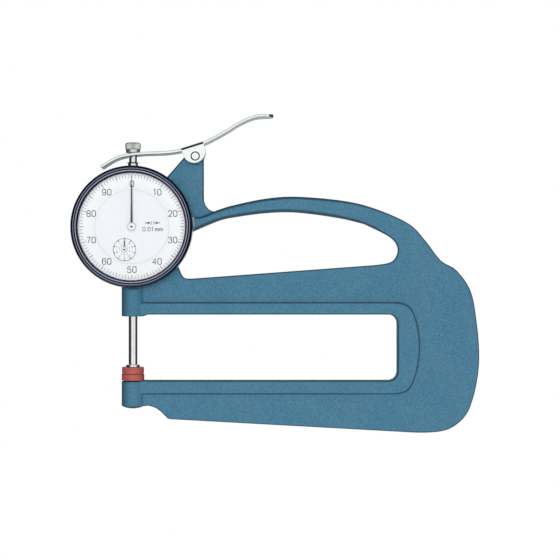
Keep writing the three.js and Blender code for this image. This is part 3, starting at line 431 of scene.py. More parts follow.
def plate(name, outline, low, high, edge, holes=(), segments=4, clamp=True):
    """Slab with holes through it and rounded edges."""
    piece = slab(name, outline, low, high)
    cut(piece, *(slab("hole", hole, low - OVERRUN, high + OVERRUN) for hole in holes))
    return soften(piece, edge, segments, clamp=clamp)


def modify(piece, kind, **settings):
    only(piece)
    bpy.ops.object.modifier_add(type=kind)
    modifier = piece.modifiers[-1]
    for name, value in settings.items():
        setattr(modifier, name, value)
    bpy.ops.object.modifier_apply(modifier=modifier.name)
    return piece


def combine(operation, piece, tools):
    for tool in tools:
        modify(piece, "BOOLEAN", operation=operation, solver="MANIFOLD", object=tool)
        bpy.data.objects.remove(tool)
    return piece


def join(piece, *others):
    return combine("UNION", piece, others)


def cut(piece, *tools):
    return combine("DIFFERENCE", piece, tools)


def soften(piece, width, segments=3, clamp=True):
    """Rounds every sharp edge."""
    return modify(piece, "BEVEL", width=width, segments=segments, limit_method="ANGLE",
                  angle_limit=SHARP_ANGLE, harden_normals=False, use_clamp_overlap=clamp)


def smooth_faces(piece, angle=32):
    only(piece)
    bpy.ops.object.shade_smooth_by_angle(angle=math.radians(angle))
    return modify(piece, "WEIGHTED_NORMAL", keep_sharp=True, weight=80)


def gather(name, pieces):
    """Joins loose pieces into one object."""
    only(pieces[0])
    for piece in pieces:
        piece.select_set(True)
    if len(pieces) > 1:
        bpy.ops.object.join()
    joined = bpy.context.object
    joined.name = name
    joined.data.name = name
    return joined


def set_in_place(piece):
    """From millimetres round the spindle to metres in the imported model's frame."""
    only(piece)
    bpy.ops.object.transform_apply(location=True, rotation=True, scale=True)
    piece.scale = (MM, MM, MM)
    piece.location = ORIGIN
    bpy.ops.object.transform_apply(location=True, rotation=True, scale=True)


def dress(piece, body, slot, finish, *nodes):
    """Sets a modelled piece in place on its body, with its finish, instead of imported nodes."""
    set_in_place(piece)
    piece.data.materials.clear()
    piece.data.materials.append(finish)
    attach(piece, body)
    if nodes:
        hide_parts(*nodes)
    return piece


def curve_through(places, steps=6):
    """Smooth run of points through given places."""
    last = len(places) - 1
    run = []
    for i in range(last):
        before, here, there, after = (
            Vector(places[max(0, min(last, j))]) for j in (i - 1, i, i + 1, i + 2)
        )
        for step in range(steps):
            t = step / steps
            pull = (there - before) / 2
            push = (after - here) / 2
            point = ((2 * t**3 - 3 * t**2 + 1) * here + (t**3 - 2 * t**2 + t) * pull
                     + (3 * t**2 - 2 * t**3) * there + (t**3 - t**2) * push)
            run.append((point.x, point.y))
    run.append(tuple(places[-1]))
    return run


def arc(x, z, radius, first, last, steps=8):
    """Points of an arc, its angles in degrees."""
    turns = [math.radians(first + (last - first) * i / steps) for i in range(steps + 1)]
    return [(x + radius * math.cos(turn), z + radius * math.sin(turn)) for turn in turns]


def circle(x, z, radius, steps):
    return arc(x, z, radius, 0, 360 - 360 / steps, steps - 1)


def on_frame(shares):
    return [(x * REACH, z * (HEEL_DROP if z < 0 else HANDLE_TOP)) for x, z in shares]


def around(radius, degrees):
    turn = math.radians(degrees)
    return radius * math.cos(turn), DIAL_HEIGHT + radius * math.sin(turn)


# Finishes


def tone(red, green, blue):
    """A screen colour from 0 to 255 as linear light."""
    return (*(((part / 255 + 0.055) / 1.055) ** 2.4 for part in (red, green, blue)), 1.0)


class Value:
    """A node's output, which takes part in sums as a number does."""

    def __init__(self, shading, socket):
        self.shading = shading
        self.socket = socket

    def of(self, name):
        return Value(self.shading, self.socket.node.outputs[name])

    def sum_with(self, operation, first, second):
        return self.shading.node("ShaderNodeMath", {"operation": operation}, {0: first, 1: second})

    def __add__(self, other):
        return self.sum_with("ADD", self, other)

    def __sub__(self, other):
        return self.sum_with("SUBTRACT", self, other)

    def __rsub__(self, other):
        return self.sum_with("SUBTRACT", other, self)

    def __mul__(self, other):
        return self.sum_with("MULTIPLY", self, other)

    def __lt__(self, other):
        return self.sum_with("LESS_THAN", self, other)

    def __gt__(self, other):
        return self.sum_with("GREATER_THAN", self, other)

    def __pow__(self, other):
        return self.sum_with("POWER", self, other)

    def __abs__(self):
        return self.sum_with("ABSOLUTE", self, 0)

    def or_more(self, other):
        return self.sum_with("MAXIMUM", self, other)

    __radd__ = __add__
    __rmul__ = __mul__


class Shading:
    """Nodes of a material or of the surroundings."""

    def __init__(self, holder):
        holder.use_nodes = True
        self.tree = holder.node_tree
        self.tree.nodes.clear()

    def node(self, kind, settings=(), sockets=(), output=0):
        made = self.tree.nodes.new(kind)
        for name, value in dict(settings).items():
            setattr(made, name, value)
        for name, value in dict(sockets).items():
            if isinstance(value, Value):
                self.tree.links.new(value.socket, made.inputs[name])
            else:
                made.inputs[name].default_value = value
        return Value(self, made.outputs[output])

    def ease(self, value, low, high, first=0.0, last=1.0):
        """From the first value at low to the last at high, with soft ends."""
        return self.node("ShaderNodeMapRange", {"interpolation_type": "SMOOTHSTEP"}, {
            "Value": value, "From Min": low, "From Max": high, "To Min": first, "To Max": last})

    def end_in(self, kind, shader):
        end = self.tree.nodes.new(kind)
        self.tree.links.new(shader.socket, end.inputs["Surface"])


class Finish(Shading):
    """A material whose patterns read the piece's own place."""

    def __init__(self, name):
        self.material = bpy.data.materials.new(name)
        super().__init__(self.material)
        self.place = self.node("ShaderNodeTexCoord", output="Object")

    def noise(self, size, detail=2.0, roughness=0.5, place=None, stretch=None):
        """Noise with features of about that size, in millimetres."""
        place = place or self.place
        if stretch:
            place = self.node("ShaderNodeMapping", {}, {"Vector": place, "Scale": stretch})
        return self.node("ShaderNodeTexNoise", {}, {
            "Vector": place, "Scale": 1 / (size * MM), "Detail": detail, "Roughness": roughness})

    def blend(self, factor, first, second):
        return self.node("ShaderNodeMix", {"data_type": "RGBA"}, {0: factor, 6: first, 7: second},
                         output=2)

    def mottle(self, pattern, first, second):
        """Two tones mixed by a pattern's softened middle."""
        return self.blend(self.ease(pattern, 0.3, 0.7), first, second)

    def between(self, side, start, first, last):
        """0 to 1 between two places along a side, in millimetres from its start."""
        return self.ease(side, start + first * MM, start + last * MM)

    def sides(self):
        split = self.node("ShaderNodeSeparateXYZ", {}, {0: self.place}, output="X")
        return split, split.of("Y"), split.of("Z")

    def turned_to(self, axis):
        """1 where a surface faces along an axis, either way, and 0 where it runs beside it."""
        facing = self.node("ShaderNodeTexCoord", output="Normal")
        return abs(self.node("ShaderNodeSeparateXYZ", {}, {0: facing}, output=axis))

    def off_axis(self, x, z):
        """Distance from an axis that runs front to back, in metres."""
        left, _, up = self.sides()
        return ((left - (ORIGIN.x + x * MM)) ** 2 + (up - (ORIGIN.z + z * MM)) ** 2) ** 0.5

    def rubbed(self, size):
        """Fine lines left by rubbing from left to right."""
        return self.noise(size, 3.0, 0.6, stretch=(0.12, 1, 1))

    def tool_marks(self, radius, along, size):
        """Fine rings left by a lathe."""
        rings = self.node("ShaderNodeCombineXYZ", {}, {"X": radius, "Y": along})
        return self.noise(size, 3.0, 0.6, rings)

    def bump(self, height, depth):
        return self.node("ShaderNodeBump", {}, {
            "Height": height, "Distance": depth * MM, "Strength": 1.0}, output="Normal")

    def surface(self, sockets):
        self.end_in("ShaderNodeOutputMaterial", self.node("ShaderNodeBsdfPrincipled", {}, sockets))
        return self.material


def hammered_paint():
    """Blue-green enamel on cast iron, with the bare machined band round the bezel, and painted
    shade on its rounded edges, on its walls and round the bosses.
    """
    f = Finish("hammered_paint")
    grain = f.noise(0.6, 3.0, 0.65)
    pebble = f.noise(1.3)
    cloud = f.noise(16.0, 3.0, 0.5)
    light = f.mottle(grain, tone(42, 92, 117), tone(84, 133, 157))
    drift = f.mottle(cloud, tone(59, 110, 136), tone(72, 115, 139))
    colour = f.blend(0.5, light, drift)
    facing = f.turned_to("Y")
    upright = f.turned_to("Z")
    left, depth, up = f.sides()
    # Painted shade: darker on rounded edges and on walls that turn away from the front, on the
    # bosses' left flanks, and on faces of the bosses that turn up or down.
    bosses = f.between(left, ORIGIN.x, 8.0, 5.0)
    flank = f.between(left, ORIGIN.x, -1.0, -4.5)
    edges = f.ease(facing, 0.998, 0.9) * f.ease(facing, 0.0, 0.25)
    walls = f.ease(facing, 0.5, 0.1)
    foot = bosses * f.ease(upright, 0.3, 0.9)
    shade = edges * (0.72 - bosses * 0.72) + flank * edges * 0.4 + foot * 0.72 + walls * 0.16
    # The painted shade blends the paint towards a dark tone.
    colour = f.blend(shade, colour, tone(32, 52, 62))
    band = f.off_axis(0, DIAL_HEIGHT) < (RELIEF_RADIUS + BAND_MARGIN) * MM
    band = band * (depth < (CASE_FRONT + BAND_MARGIN) * MM)
    above = f.between(up, ORIGIN.z, DIAL_HEIGHT - 1.0, DIAL_HEIGHT + 1.0)
    bare = band * (left > ORIGIN.x + NECK_RADIUS / 2 * MM) * above
    iron = f.blend(grain, tone(148, 168, 178), tone(184, 198, 204))
    height = grain * 0.5 + pebble
    return f.surface({
        "Base Color": f.blend(bare, colour, iron),
        "Metallic": bare * 0.8,
        "Roughness": f.ease(pebble, 0.2, 0.8) * 0.12 + 0.46 - bare * 0.1,
        "Normal": f.bump(height * (1 - bare * 0.7), 0.05),
        "Specular IOR Level": 0.35,
    })


def polished(name, colour, shade, roughness, axis, marks, depth=0.004):
    """Bright metal with fine lathe marks round an axis, or a fine rub where there is none."""
    f = Finish(name)
    left, deep, up = f.sides()
    if axis == "Y":
        rings = f.tool_marks(f.off_axis(0, DIAL_HEIGHT), deep, marks)
    elif axis == "Z":
        rings = f.tool_marks(((left - ORIGIN.x) ** 2 + deep ** 2) ** 0.5, up, marks)
    else:
        rings = f.rubbed(marks)
    smear = f.noise(5.0)
    return f.surface({
        "Base Color": f.blend(f.ease(smear, 0.3, 0.7) * 0.6 + rings * 0.4, colour, shade),
        "Metallic": 1.0,
        "Roughness": roughness + rings * 0.06 + smear * 0.05,
        "Normal": f.bump(rings, depth),
    })


def plated_sheet():
    """Bright nickel on the lever, rougher and with painted shade on its underside, a painted
    highlight on its ears and a ring of painted shade on its pin's rim.
    """
    f = Finish("lever_nickel")
    facing = f.node("ShaderNodeTexCoord", output="Normal")
    up = f.node("ShaderNodeSeparateXYZ", {}, {0: facing}, output="Z")
    # Faces that turn downwards: rougher, and given the painted shade below.
    under = f.ease(up, -0.25, -0.75)
    rub = f.rubbed(0.4)
    smear = f.noise(6.0)
    wear = f.ease(smear, 0.3, 0.7) * 0.6 + rub * 0.4
    from_pin = f.off_axis(PIVOT_X, PIVOT_Z)
    # Painted highlight: lighter nickel near the pivot, on the ears and the pin.
    ears = f.between(from_pin, 0, EAR_RADIUS + 2.3, EAR_RADIUS + 0.3)
    strip = f.blend(wear, tone(240, 247, 247), tone(229, 237, 237))
    bright = f.blend(ears, strip, f.blend(wear, tone(250, 253, 254), tone(241, 246, 247)))
    left, deep, _ = f.sides()
    # Painted shade for the underside, in a darker tone that lightens towards the thumb end.
    underside_shade = f.mottle(smear, tone(128, 143, 143), tone(104, 118, 119))
    shaded_underside = f.blend(f.between(left, ORIGIN.x, 15, 35), underside_shade, tone(170, 182, 182))
    # Painted shade: a dark ring on the rim of the pin's head.
    head = abs(deep) > (LEVER_HALF + 0.02) * MM
    rim = head * (from_pin > (PIN_CROWN + 0.01) * MM)
    return f.surface({
        "Base Color": f.blend(rim, f.blend(under, bright, shaded_underside), tone(108, 94, 88)),
        "Metallic": 1.0,
        "Roughness": 0.14 + rub * 0.06 + under * 0.2,
        "Normal": f.bump(rub, 0.004),
    })


def enamel(name, colour, shade, roughness, size, depth, coat=0.0):
    """Opaque finish with a fine grain."""
    f = Finish(name)
    grain = f.noise(size, 3.0, 0.55)
    cloud = f.noise(size * 14)
    mixed = f.ease(grain, 0.3, 0.7) * 0.5 + f.ease(cloud, 0.3, 0.7) * 0.5
    return f.surface({
        "Base Color": f.blend(mixed, colour, shade),
        "Roughness": roughness + grain * 0.08,
        "Normal": f.bump(grain, depth),
        "Coat Weight": coat,
        "Coat Roughness": 0.12,
        "Specular IOR Level": 0.35,
    })


def dial_enamel():
    """Matt white, with painted light that makes it lighter towards the dial's rim, against the
    shade of the bezel.
    """
    f = Finish("dial_enamel")
    grain = f.noise(0.4, 3.0, 0.55)
    # Painted light: the rim's tones are lighter, to lift the shade that the bezel casts on the
    # dial's edge.
    middle = f.mottle(grain, tone(235, 238, 241), tone(231, 234, 238))
    rim = f.mottle(grain, tone(249, 252, 253), tone(245, 248, 250))
    return f.surface({
        "Base Color": f.blend(f.between(f.off_axis(0, DIAL_HEIGHT), 0, 16.0, 22.5), middle, rim),
        "Roughness": grain * 0.08 + 0.5,
        "Normal": f.bump(grain, 0.002),
        "Specular IOR Level": 0.35,
    })


def anodised_black():
    """Black bezel with a blue cast and lathe marks, and a painted highlight on the faces that turn
    to the front, full on the first bead and half beyond it.
    """
    f = Finish("anodised_black")
    _, deep, _ = f.sides()
    radius = f.off_axis(0, DIAL_HEIGHT)
    rings = f.tool_marks(radius, deep, 0.2)
    dust = f.noise(1.2, 3.0, 0.6)
    # Painted highlight on faces turned to the front or back outside the window's edge, full inside
    # the groove between the beads and half outside it.
    crest = f.ease(f.turned_to("Y"), 0.72, 0.95) * (radius > (WINDOW_RADIUS + 0.4) * MM)
    highlight_weight = f.between(radius, 0, BEAD_GROOVE[0], BEAD_GROOVE[0] - 0.3) * 0.5 + 0.5
    film = rings * 0.7 + dust * 0.3
    dark = f.blend(film, tone(56, 60, 76), tone(68, 71, 88))
    bright = f.blend(film, tone(158, 161, 188), tone(174, 177, 202))
    return f.surface({
        "Base Color": f.blend(crest * highlight_weight, dark, bright),
        "Metallic": 0.95,
        "Roughness": 0.1 + rings * 0.05 + dust * 0.04,
        "Normal": f.bump(rings, 0.004),
    })


def clear_glass():
    f = Finish("crystal_clear")
    haze = f.noise(9.0)
    return f.surface({
        "Base Color": tone(250, 252, 255),
        "Roughness": 0.03 + haze * 0.03,
        "Alpha": 0.035 + haze * 0.02,
        "IOR": 1.46,
    })


PAINT = hammered_paint()
BLACK = anodised_black()
GLASS = clear_glass()
CHROME = polished("ground_chrome", tone(243, 246, 246), tone(230, 234, 234), 0.07, "Z", 0.5, 0.002)
KNOB_STEEL = polished("knob_steel", tone(238, 243, 235), tone(220, 226, 217), 0.42, "Z", 0.3)
BUSH_STEEL = polished("bush_steel", tone(190, 194, 194), tone(164, 170, 170), 0.16, "Z", 0.3)
NICKEL = plated_sheet()
STEEL = polished("plain_steel", tone(176, 178, 180), tone(146, 149, 152), 0.28, None, 0.3)
# Dark steel on the works' pinions, and painted shade on the anvil's shank, where a dark gap shows
# under the anvil's face.
DARK_STEEL = polished("blued_steel_and_painted_shade", tone(34, 34, 38), tone(22, 22, 26), 0.35, None, 0.3)
BRASS = polished("movement_brass", tone(206, 176, 106), tone(178, 146, 80), 0.26, "Y", 0.4)
RED = enamel("measuring_red", tone(180, 90, 86), tone(162, 76, 73), 0.34, 0.6, 0.008, 0.2)
WHITE = dial_enamel()
HUB_WHITE = enamel("hub_white", tone(240, 241, 242), tone(228, 229, 231), 0.4, 0.3, 0.002)
GREY_INK = enamel("grey_ink", tone(72, 72, 80), tone(84, 84, 92), 0.6, 0.2, 0.002)
PALE_INK = enamel("pale_ink", tone(120, 120, 128), tone(132, 132, 140), 0.6, 0.2, 0.002)
BLACK_INK = enamel("pointer_black", tone(14, 14, 18), tone(24, 24, 28), 0.6, 0.4, 0.002)
COVER_BLACK = enamel("cover_black", tone(30, 32, 36), tone(40, 42, 47), 0.42, 0.35, 0.012)


# Casting


def web():
    """Thin web of the whole frame, with the handle's opening, stopping short of the throat."""
    jaw_top = -ANVIL_HEIGHT
    right = THROAT_DEPTH + RIM_BITE
    corner = THROAT_CORNER + RIM_BITE
    outline = [
        *curve_through(on_frame(ARCH)),
        *curve_through(on_frame(BOW)),
        *curve_through(on_frame(HANDLE_OVER))[1:],
        (0, DIAL_HEIGHT), (0, GAPE + RIM_BITE),
        *arc(right - corner, GAPE + RIM_BITE - corner, corner, 90, 0),
        *arc(right - corner, jaw_top - RIM_BITE + corner, corner, 0, -90),
        (0, jaw_top - RIM_BITE),
    ]
    hole = [
        *reversed(curve_through(on_frame(HOLE_UNDER))),
        *curve_through(on_frame(HOLE_END))[1:],
        *curve_through(on_frame(HOLE_FOOT)),
        (HOLE_FOOT[-1][0] * REACH, DIAL_HEIGHT - CAVITY_RADIUS / 2),
    ]
    return plate("web", outline, -WEB_HALF, WEB_HALF, WEB_ROUND, [hole], clamp=False)


def throat_rim():
    """Thick rim round the throat, with its run-out into the stem's boss."""
    top = GAPE + RIM_BAND
    jaw_top = -ANVIL_HEIGHT
    low = jaw_top - LOWER_RIM_BAND
    right = THROAT_DEPTH + RIM_BULGE
    half = (top - low) / 2
    centre = (top + low) / 2
    corner = THROAT_CORNER
    boss_foot = GAPE - STEM_DROP + STEM_LIP
    outline = [
        (-RIM_BITE, low), (-RIM_BITE, jaw_top),
        *arc(THROAT_DEPTH - corner, jaw_top + corner, corner, -90, 0),
        *arc(THROAT_DEPTH - corner, GAPE - corner, corner, 0, 90),
        (BOSS_RADIUS + STEM_RUNOUT, GAPE), (BOSS_RADIUS, boss_foot), (-RIM_BITE, boss_foot),
        (-RIM_BITE, top),
        *curve_through([(right + x * RIM_BULGE, centre + z * half) for x, z in RIM_END]),
    ]
    return plate("throat_rim", outline, -RIM_HALF, RIM_HALF, RIM_ROUND, clamp=False)


def carrying_handle():
    """Rounded bar over the hand's opening, which thins out into the bow."""
    outer = curve_through(on_frame(BAR_OUTER))
    inner = curve_through(on_frame(BAR_INNER))
    piece = slab("handle", [*outer, *reversed(inner)], -HANDLE_HALF, HANDLE_HALF)
    bpy.ops.object.mode_set(mode="EDIT")
    bpy.ops.mesh.select_mode(type="EDGE")
    bpy.ops.mesh.select_all(action="DESELECT")
    bpy.ops.object.mode_set(mode="OBJECT")
    for edge in piece.data.edges:
        here, there = (piece.data.vertices[i].co for i in edge.vertices)
        edge.select = abs(here.y - there.y) < HANDLE_HALF and (here - there).length < BAR_STEP
    bpy.ops.object.mode_set(mode="EDIT")
    bpy.ops.mesh.bevel(offset=HANDLE_ROUND, segments=6)
    bpy.ops.object.mode_set(mode="OBJECT")
    first, last = HANDLE_FADE
    for vertex in piece.data.vertices:
        place = piece.location.x + vertex.co.x
        fade = min(1, max(0, (place - first) / (last - first)))
        share = 1 - (1 - HANDLE_THIN / HANDLE_HALF) * fade * fade * (3 - 2 * fade)
        vertex.co.y = (piece.location.y + vertex.co.y) * share - piece.location.y
    return piece


def lever_post():
    """Upright that carries the lever's pivot."""
    tangent = math.degrees(POST_SLOPE) + 90
    right = PIVOT_X + POST_RADIUS
    top = arc(PIVOT_X, PIVOT_Z, POST_RADIUS, 0, tangent, 14)
    foot_x = CASE_RADIUS / 2
    foot_z = top[-1][1] - (top[-1][0] - foot_x) * math.tan(POST_SLOPE)
    fillet = arc(right + POST_FILLET, POST_ROOT + POST_FILLET, POST_FILLET, 270, 180)
    outline = [
        (foot_x, foot_z), (foot_x, DIAL_HEIGHT), (right, POST_ROOT - HANDLE_HALF), POST_TOE,
        *((x, POST_ROOT + (z - POST_ROOT) * POST_STRETCH) for x, z in fillet),
        *top,
    ]
    return plate("lever_post", outline, -WEB_HALF, WEB_HALF, WEB_ROUND, clamp=False)


def casting():
    stem_foot = GAPE - STEM_DROP
    stem = turned("stem_boss", bar(BOSS_RADIUS, stem_foot, DIAL_HEIGHT - CAVITY_RADIUS), axis="Z",
                  steps=64)
    soften(stem, BOSS_ROUND)
    anvil = turned("anvil_boss", [
        *((BOSS_RADIUS * share, ANVIL_BOSS_FOOT - BOSS_DOME * drop) for share, drop in DOME),
        (BOSS_RADIUS, ANVIL_BOSS_FOOT + BOSS_RISE), (BOSS_RADIUS, ANVIL_BOSS_TOP - BOSS_CHAMFER),
        (BOSS_RADIUS - BOSS_CHAMFER, ANVIL_BOSS_TOP), (0, ANVIL_BOSS_TOP)], axis="Z", steps=64)
    pivot = turned("pivot_boss", bar(POST_RADIUS, -PIVOT_BOSS_HALF, PIVOT_BOSS_HALF), PIVOT,
                   steps=64)
    soften(pivot, PIVOT_BOSS_ROUND)
    anvil_room = turned("anvil_room", bar(BOSS_RADIUS + BOSS_ROOM, ANVIL_BOSS_TOP, stem_foot),
                        axis="Z", steps=64)
    relief = turned("relief", bar(RELIEF_RADIUS, BEZEL_FRONT, RELIEF_FACE), DIAL_CENTRE)
    body = cut(join(web(), throat_rim()), anvil_room)
    body = cut(join(body, carrying_handle(), lever_post(), pivot, stem, anvil), relief)
    case = turned("case_ring", closed([
        (RING_BORE, NECK_FRONT), (NECK_RADIUS, NECK_FRONT), (NECK_RADIUS, CASE_FRONT),
        (CASE_RADIUS, CASE_FRONT), (CASE_RADIUS, CASE_BACK), (RING_BORE, CASE_BACK)]),
        DIAL_CENTRE, steps=160)
    cavity = turned("cavity", [
        (0, NECK_FRONT - OVERRUN), (RECESS_RADIUS, NECK_FRONT - OVERRUN),
        (RECESS_RADIUS, LEDGE_FRONT), (CAVITY_RADIUS, LEDGE_FRONT),
        (CAVITY_RADIUS, CASE_BACK + OVERRUN), (0, CASE_BACK + OVERRUN)], DIAL_CENTRE)
    stem_bore = turned("stem_bore", bar(STEM_BORE, stem_foot - OVERRUN, DIAL_HEIGHT), axis="Z",
                       steps=48)
    case_top = DIAL_HEIGHT + CASE_RADIUS + OVERRUN
    top_bore = turned("top_bore", bar(TOP_BORE, DIAL_HEIGHT, case_top), axis="Z", steps=48)
    body = cut(join(body, soften(case, CASE_ROUND)), cavity, stem_bore, top_bore)
    smooth_faces(body)
    body.name = "cast_frame"
    dress(body, "frame", "frame_paint", PAINT, "frame_casting")


casting()


# Spindle, bushes, contact and anvil


def spindle():
    """Ground rod with a shoulder, a thread for the knob and a rack cut in its side."""
    low, high = heights("spindle")
    shoulder = DIAL_HEIGHT + CAVITY_RADIUS - SHOULDER_DROP
    neck = heights("lifting_knob")[0] - SEAT_GAP
    piece = soften(turned("spindle_rod", [
        (0, low), (SPINDLE_RADIUS, low), (SPINDLE_RADIUS, shoulder), (UPPER_RADIUS, shoulder),
        (UPPER_RADIUS, neck), (THREAD_RADIUS, neck), (THREAD_RADIUS, high), (0, high)],
        axis="Z", steps=64), 0.15, 2)
    side = -SPINDLE_RADIUS - 1
    foot = COUNTER_Z - RACK_DROP
    teeth = [(side, foot)]
    for i in range(RACK_TEETH):
        teeth.append((-RACK_ROOT, foot + i * RACK_PITCH))
        teeth.append((-RACK_TIP, foot + (i + 0.5) * RACK_PITCH))
    teeth.append((side, foot + (RACK_TEETH - 0.5) * RACK_PITCH))
    cut(piece, slab("rack_cutter", teeth, side, -side))
    dress(smooth_faces(piece), "spindle_body", "spindle_chrome", CHROME, "spindle")


def round_piece(name, profile, body, slot, finish, *nodes, edge, centre=None, steps=96):
    """A turned piece with softened edges: round the spindle, or front to back round a centre."""
    axis = "Y" if centre else "Z"
    piece = soften(turned(name, profile, centre or (0, 0, 0), axis, steps), edge)
    return dress(smooth_faces(piece), body, slot, finish, *nodes)


def spindle_line():
    """Everything turned round the spindle's axis."""
    low, high = heights("contact_disc")
    face = radius_of("contact_disc")
    round_piece("contact_face", [
        (0, low), (face - DISC_TAPER, low), (face, low + DISC_CHAMFER), (face, high), (0, high)],
        "spindle_body", "measuring_red", RED, "contact_disc", edge=0.3)
    collar_foot = high + SEAT_GAP
    collar_top = collar_foot + COLLAR_HEIGHT
    low, high = heights("contact_stud")
    collar = radius_of("contact_stud")
    round_piece("contact_collar", [
        (0, low), (STUD_CORE, low), (STUD_CORE, collar_foot), (collar, collar_foot),
        (collar, collar_top), (STUD_THREAD, collar_top), (STUD_THREAD, high), (0, high)],
        "spindle_body", "steel", CHROME, "contact_stud", edge=0.12)
    low, high = heights("anvil_disc")
    face = radius_of("anvil_disc")
    round_piece("anvil_face", [
        (0, low), (face, low), (face, high - FACE_CHAMFER), (face - DISC_TAPER, high), (0, high)],
        "frame", "measuring_red", RED, "anvil_disc", edge=0.3)
    low, high = heights("anvil_stud")
    collar = radius_of("anvil_stud")
    seat = ANVIL_BOSS_TOP + SEAT_GAP
    shank_top = -ANVIL_HEIGHT - SEAT_GAP
    # Painted shade: the shank's collar shows as a thin band between the anvil's face and its boss,
    # coloured near black for the shadow in that gap.
    round_piece("anvil_shank", [
        (0, low), (SHANK_RADIUS, low), (SHANK_RADIUS, seat), (collar, seat), (collar, shank_top),
        (STUD_CORE, shank_top), (STUD_CORE, high), (0, high)],
        "frame", "steel", DARK_STEEL, "anvil_stud", edge=0.05)
    round_piece("stem_bush", tube(STEM_BUSH_BORE, radius_of("lower_bush"), *heights("lower_bush")),
                "frame", "steel", BUSH_STEEL, "lower_bush", edge=0.15, steps=64)
    low, high = heights("upper_bush")
    flange = radius_of("upper_bush") + FLANGE
    foot, middle, rim = (high - step for step in FLANGE_STEPS)
    round_piece("top_bush", closed([
        (TOP_BUSH_BORE, low), (TOP_BUSH_RADIUS, low), (TOP_BUSH_RADIUS, foot), (flange, middle),
        (flange, rim), (TOP_BUSH_RADIUS, high), (TOP_BUSH_BORE, high)]),
        "frame", "bush_chrome", CHROME, "upper_bush", edge=0.06, steps=64)


def knob():
    """Lifting knob with a straight knurl over a plain collar."""
    low, high = heights("lifting_knob")
    radius = radius_of("lifting_knob")
    neck = radius - KNOB_NECK
    collar_top = low + KNOB_COLLAR_RISE
    knurl = []
    for i in range(KNOB_RIBS * 4):
        reach = radius - KNOB_RIB + KNOB_RIB * math.cos(math.pi * i / 2)
        turn = 2 * math.pi * i / KNOB_RIBS / 4
        knurl.append((reach * math.cos(turn), reach * math.sin(turn)))
    barrel = slab("knob_barrel", knurl, collar_top, high, facing="Z")
    blank = turned("knob_blank", [
        (0, low), (neck, low), (neck, collar_top), (radius, collar_top + KNOB_NECK),
        (radius, high - KNOB_CHAMFER), (radius - KNOB_CHAMFER, high), (0, high)],
        axis="Z", steps=96)
    combine("INTERSECT", barrel, [soften(blank, 0.12, 2)])
    collar = turned("knob_collar", bar(KNOB_COLLAR, low, collar_top + 0.5), axis="Z", steps=72)
    soften(collar, 0.2)
    bore = turned("knob_bore", bar(KNOB_BORE, low - 1, low + KNOB_BORE_DEPTH), axis="Z", steps=32)
    piece = cut(join(barrel, collar), bore)
    dress(smooth_faces(piece, 40), "spindle_body", "knob_steel", KNOB_STEEL, "lifting_knob")


spindle()
spindle_line()
knob()


# Lifting lever


def lever_line():
    """The strip's top, in front of the ears and behind them."""
    front = [(PIVOT_X * (1 - x), PIVOT_Z + z * PIVOT_DROP) for x, z in FRONT_ARM]
    thumb = [(PIVOT_X + x * THUMB_ARM, PIVOT_Z + z * THUMB_RISE) for x, z in THUMB_END]
    return front, thumb


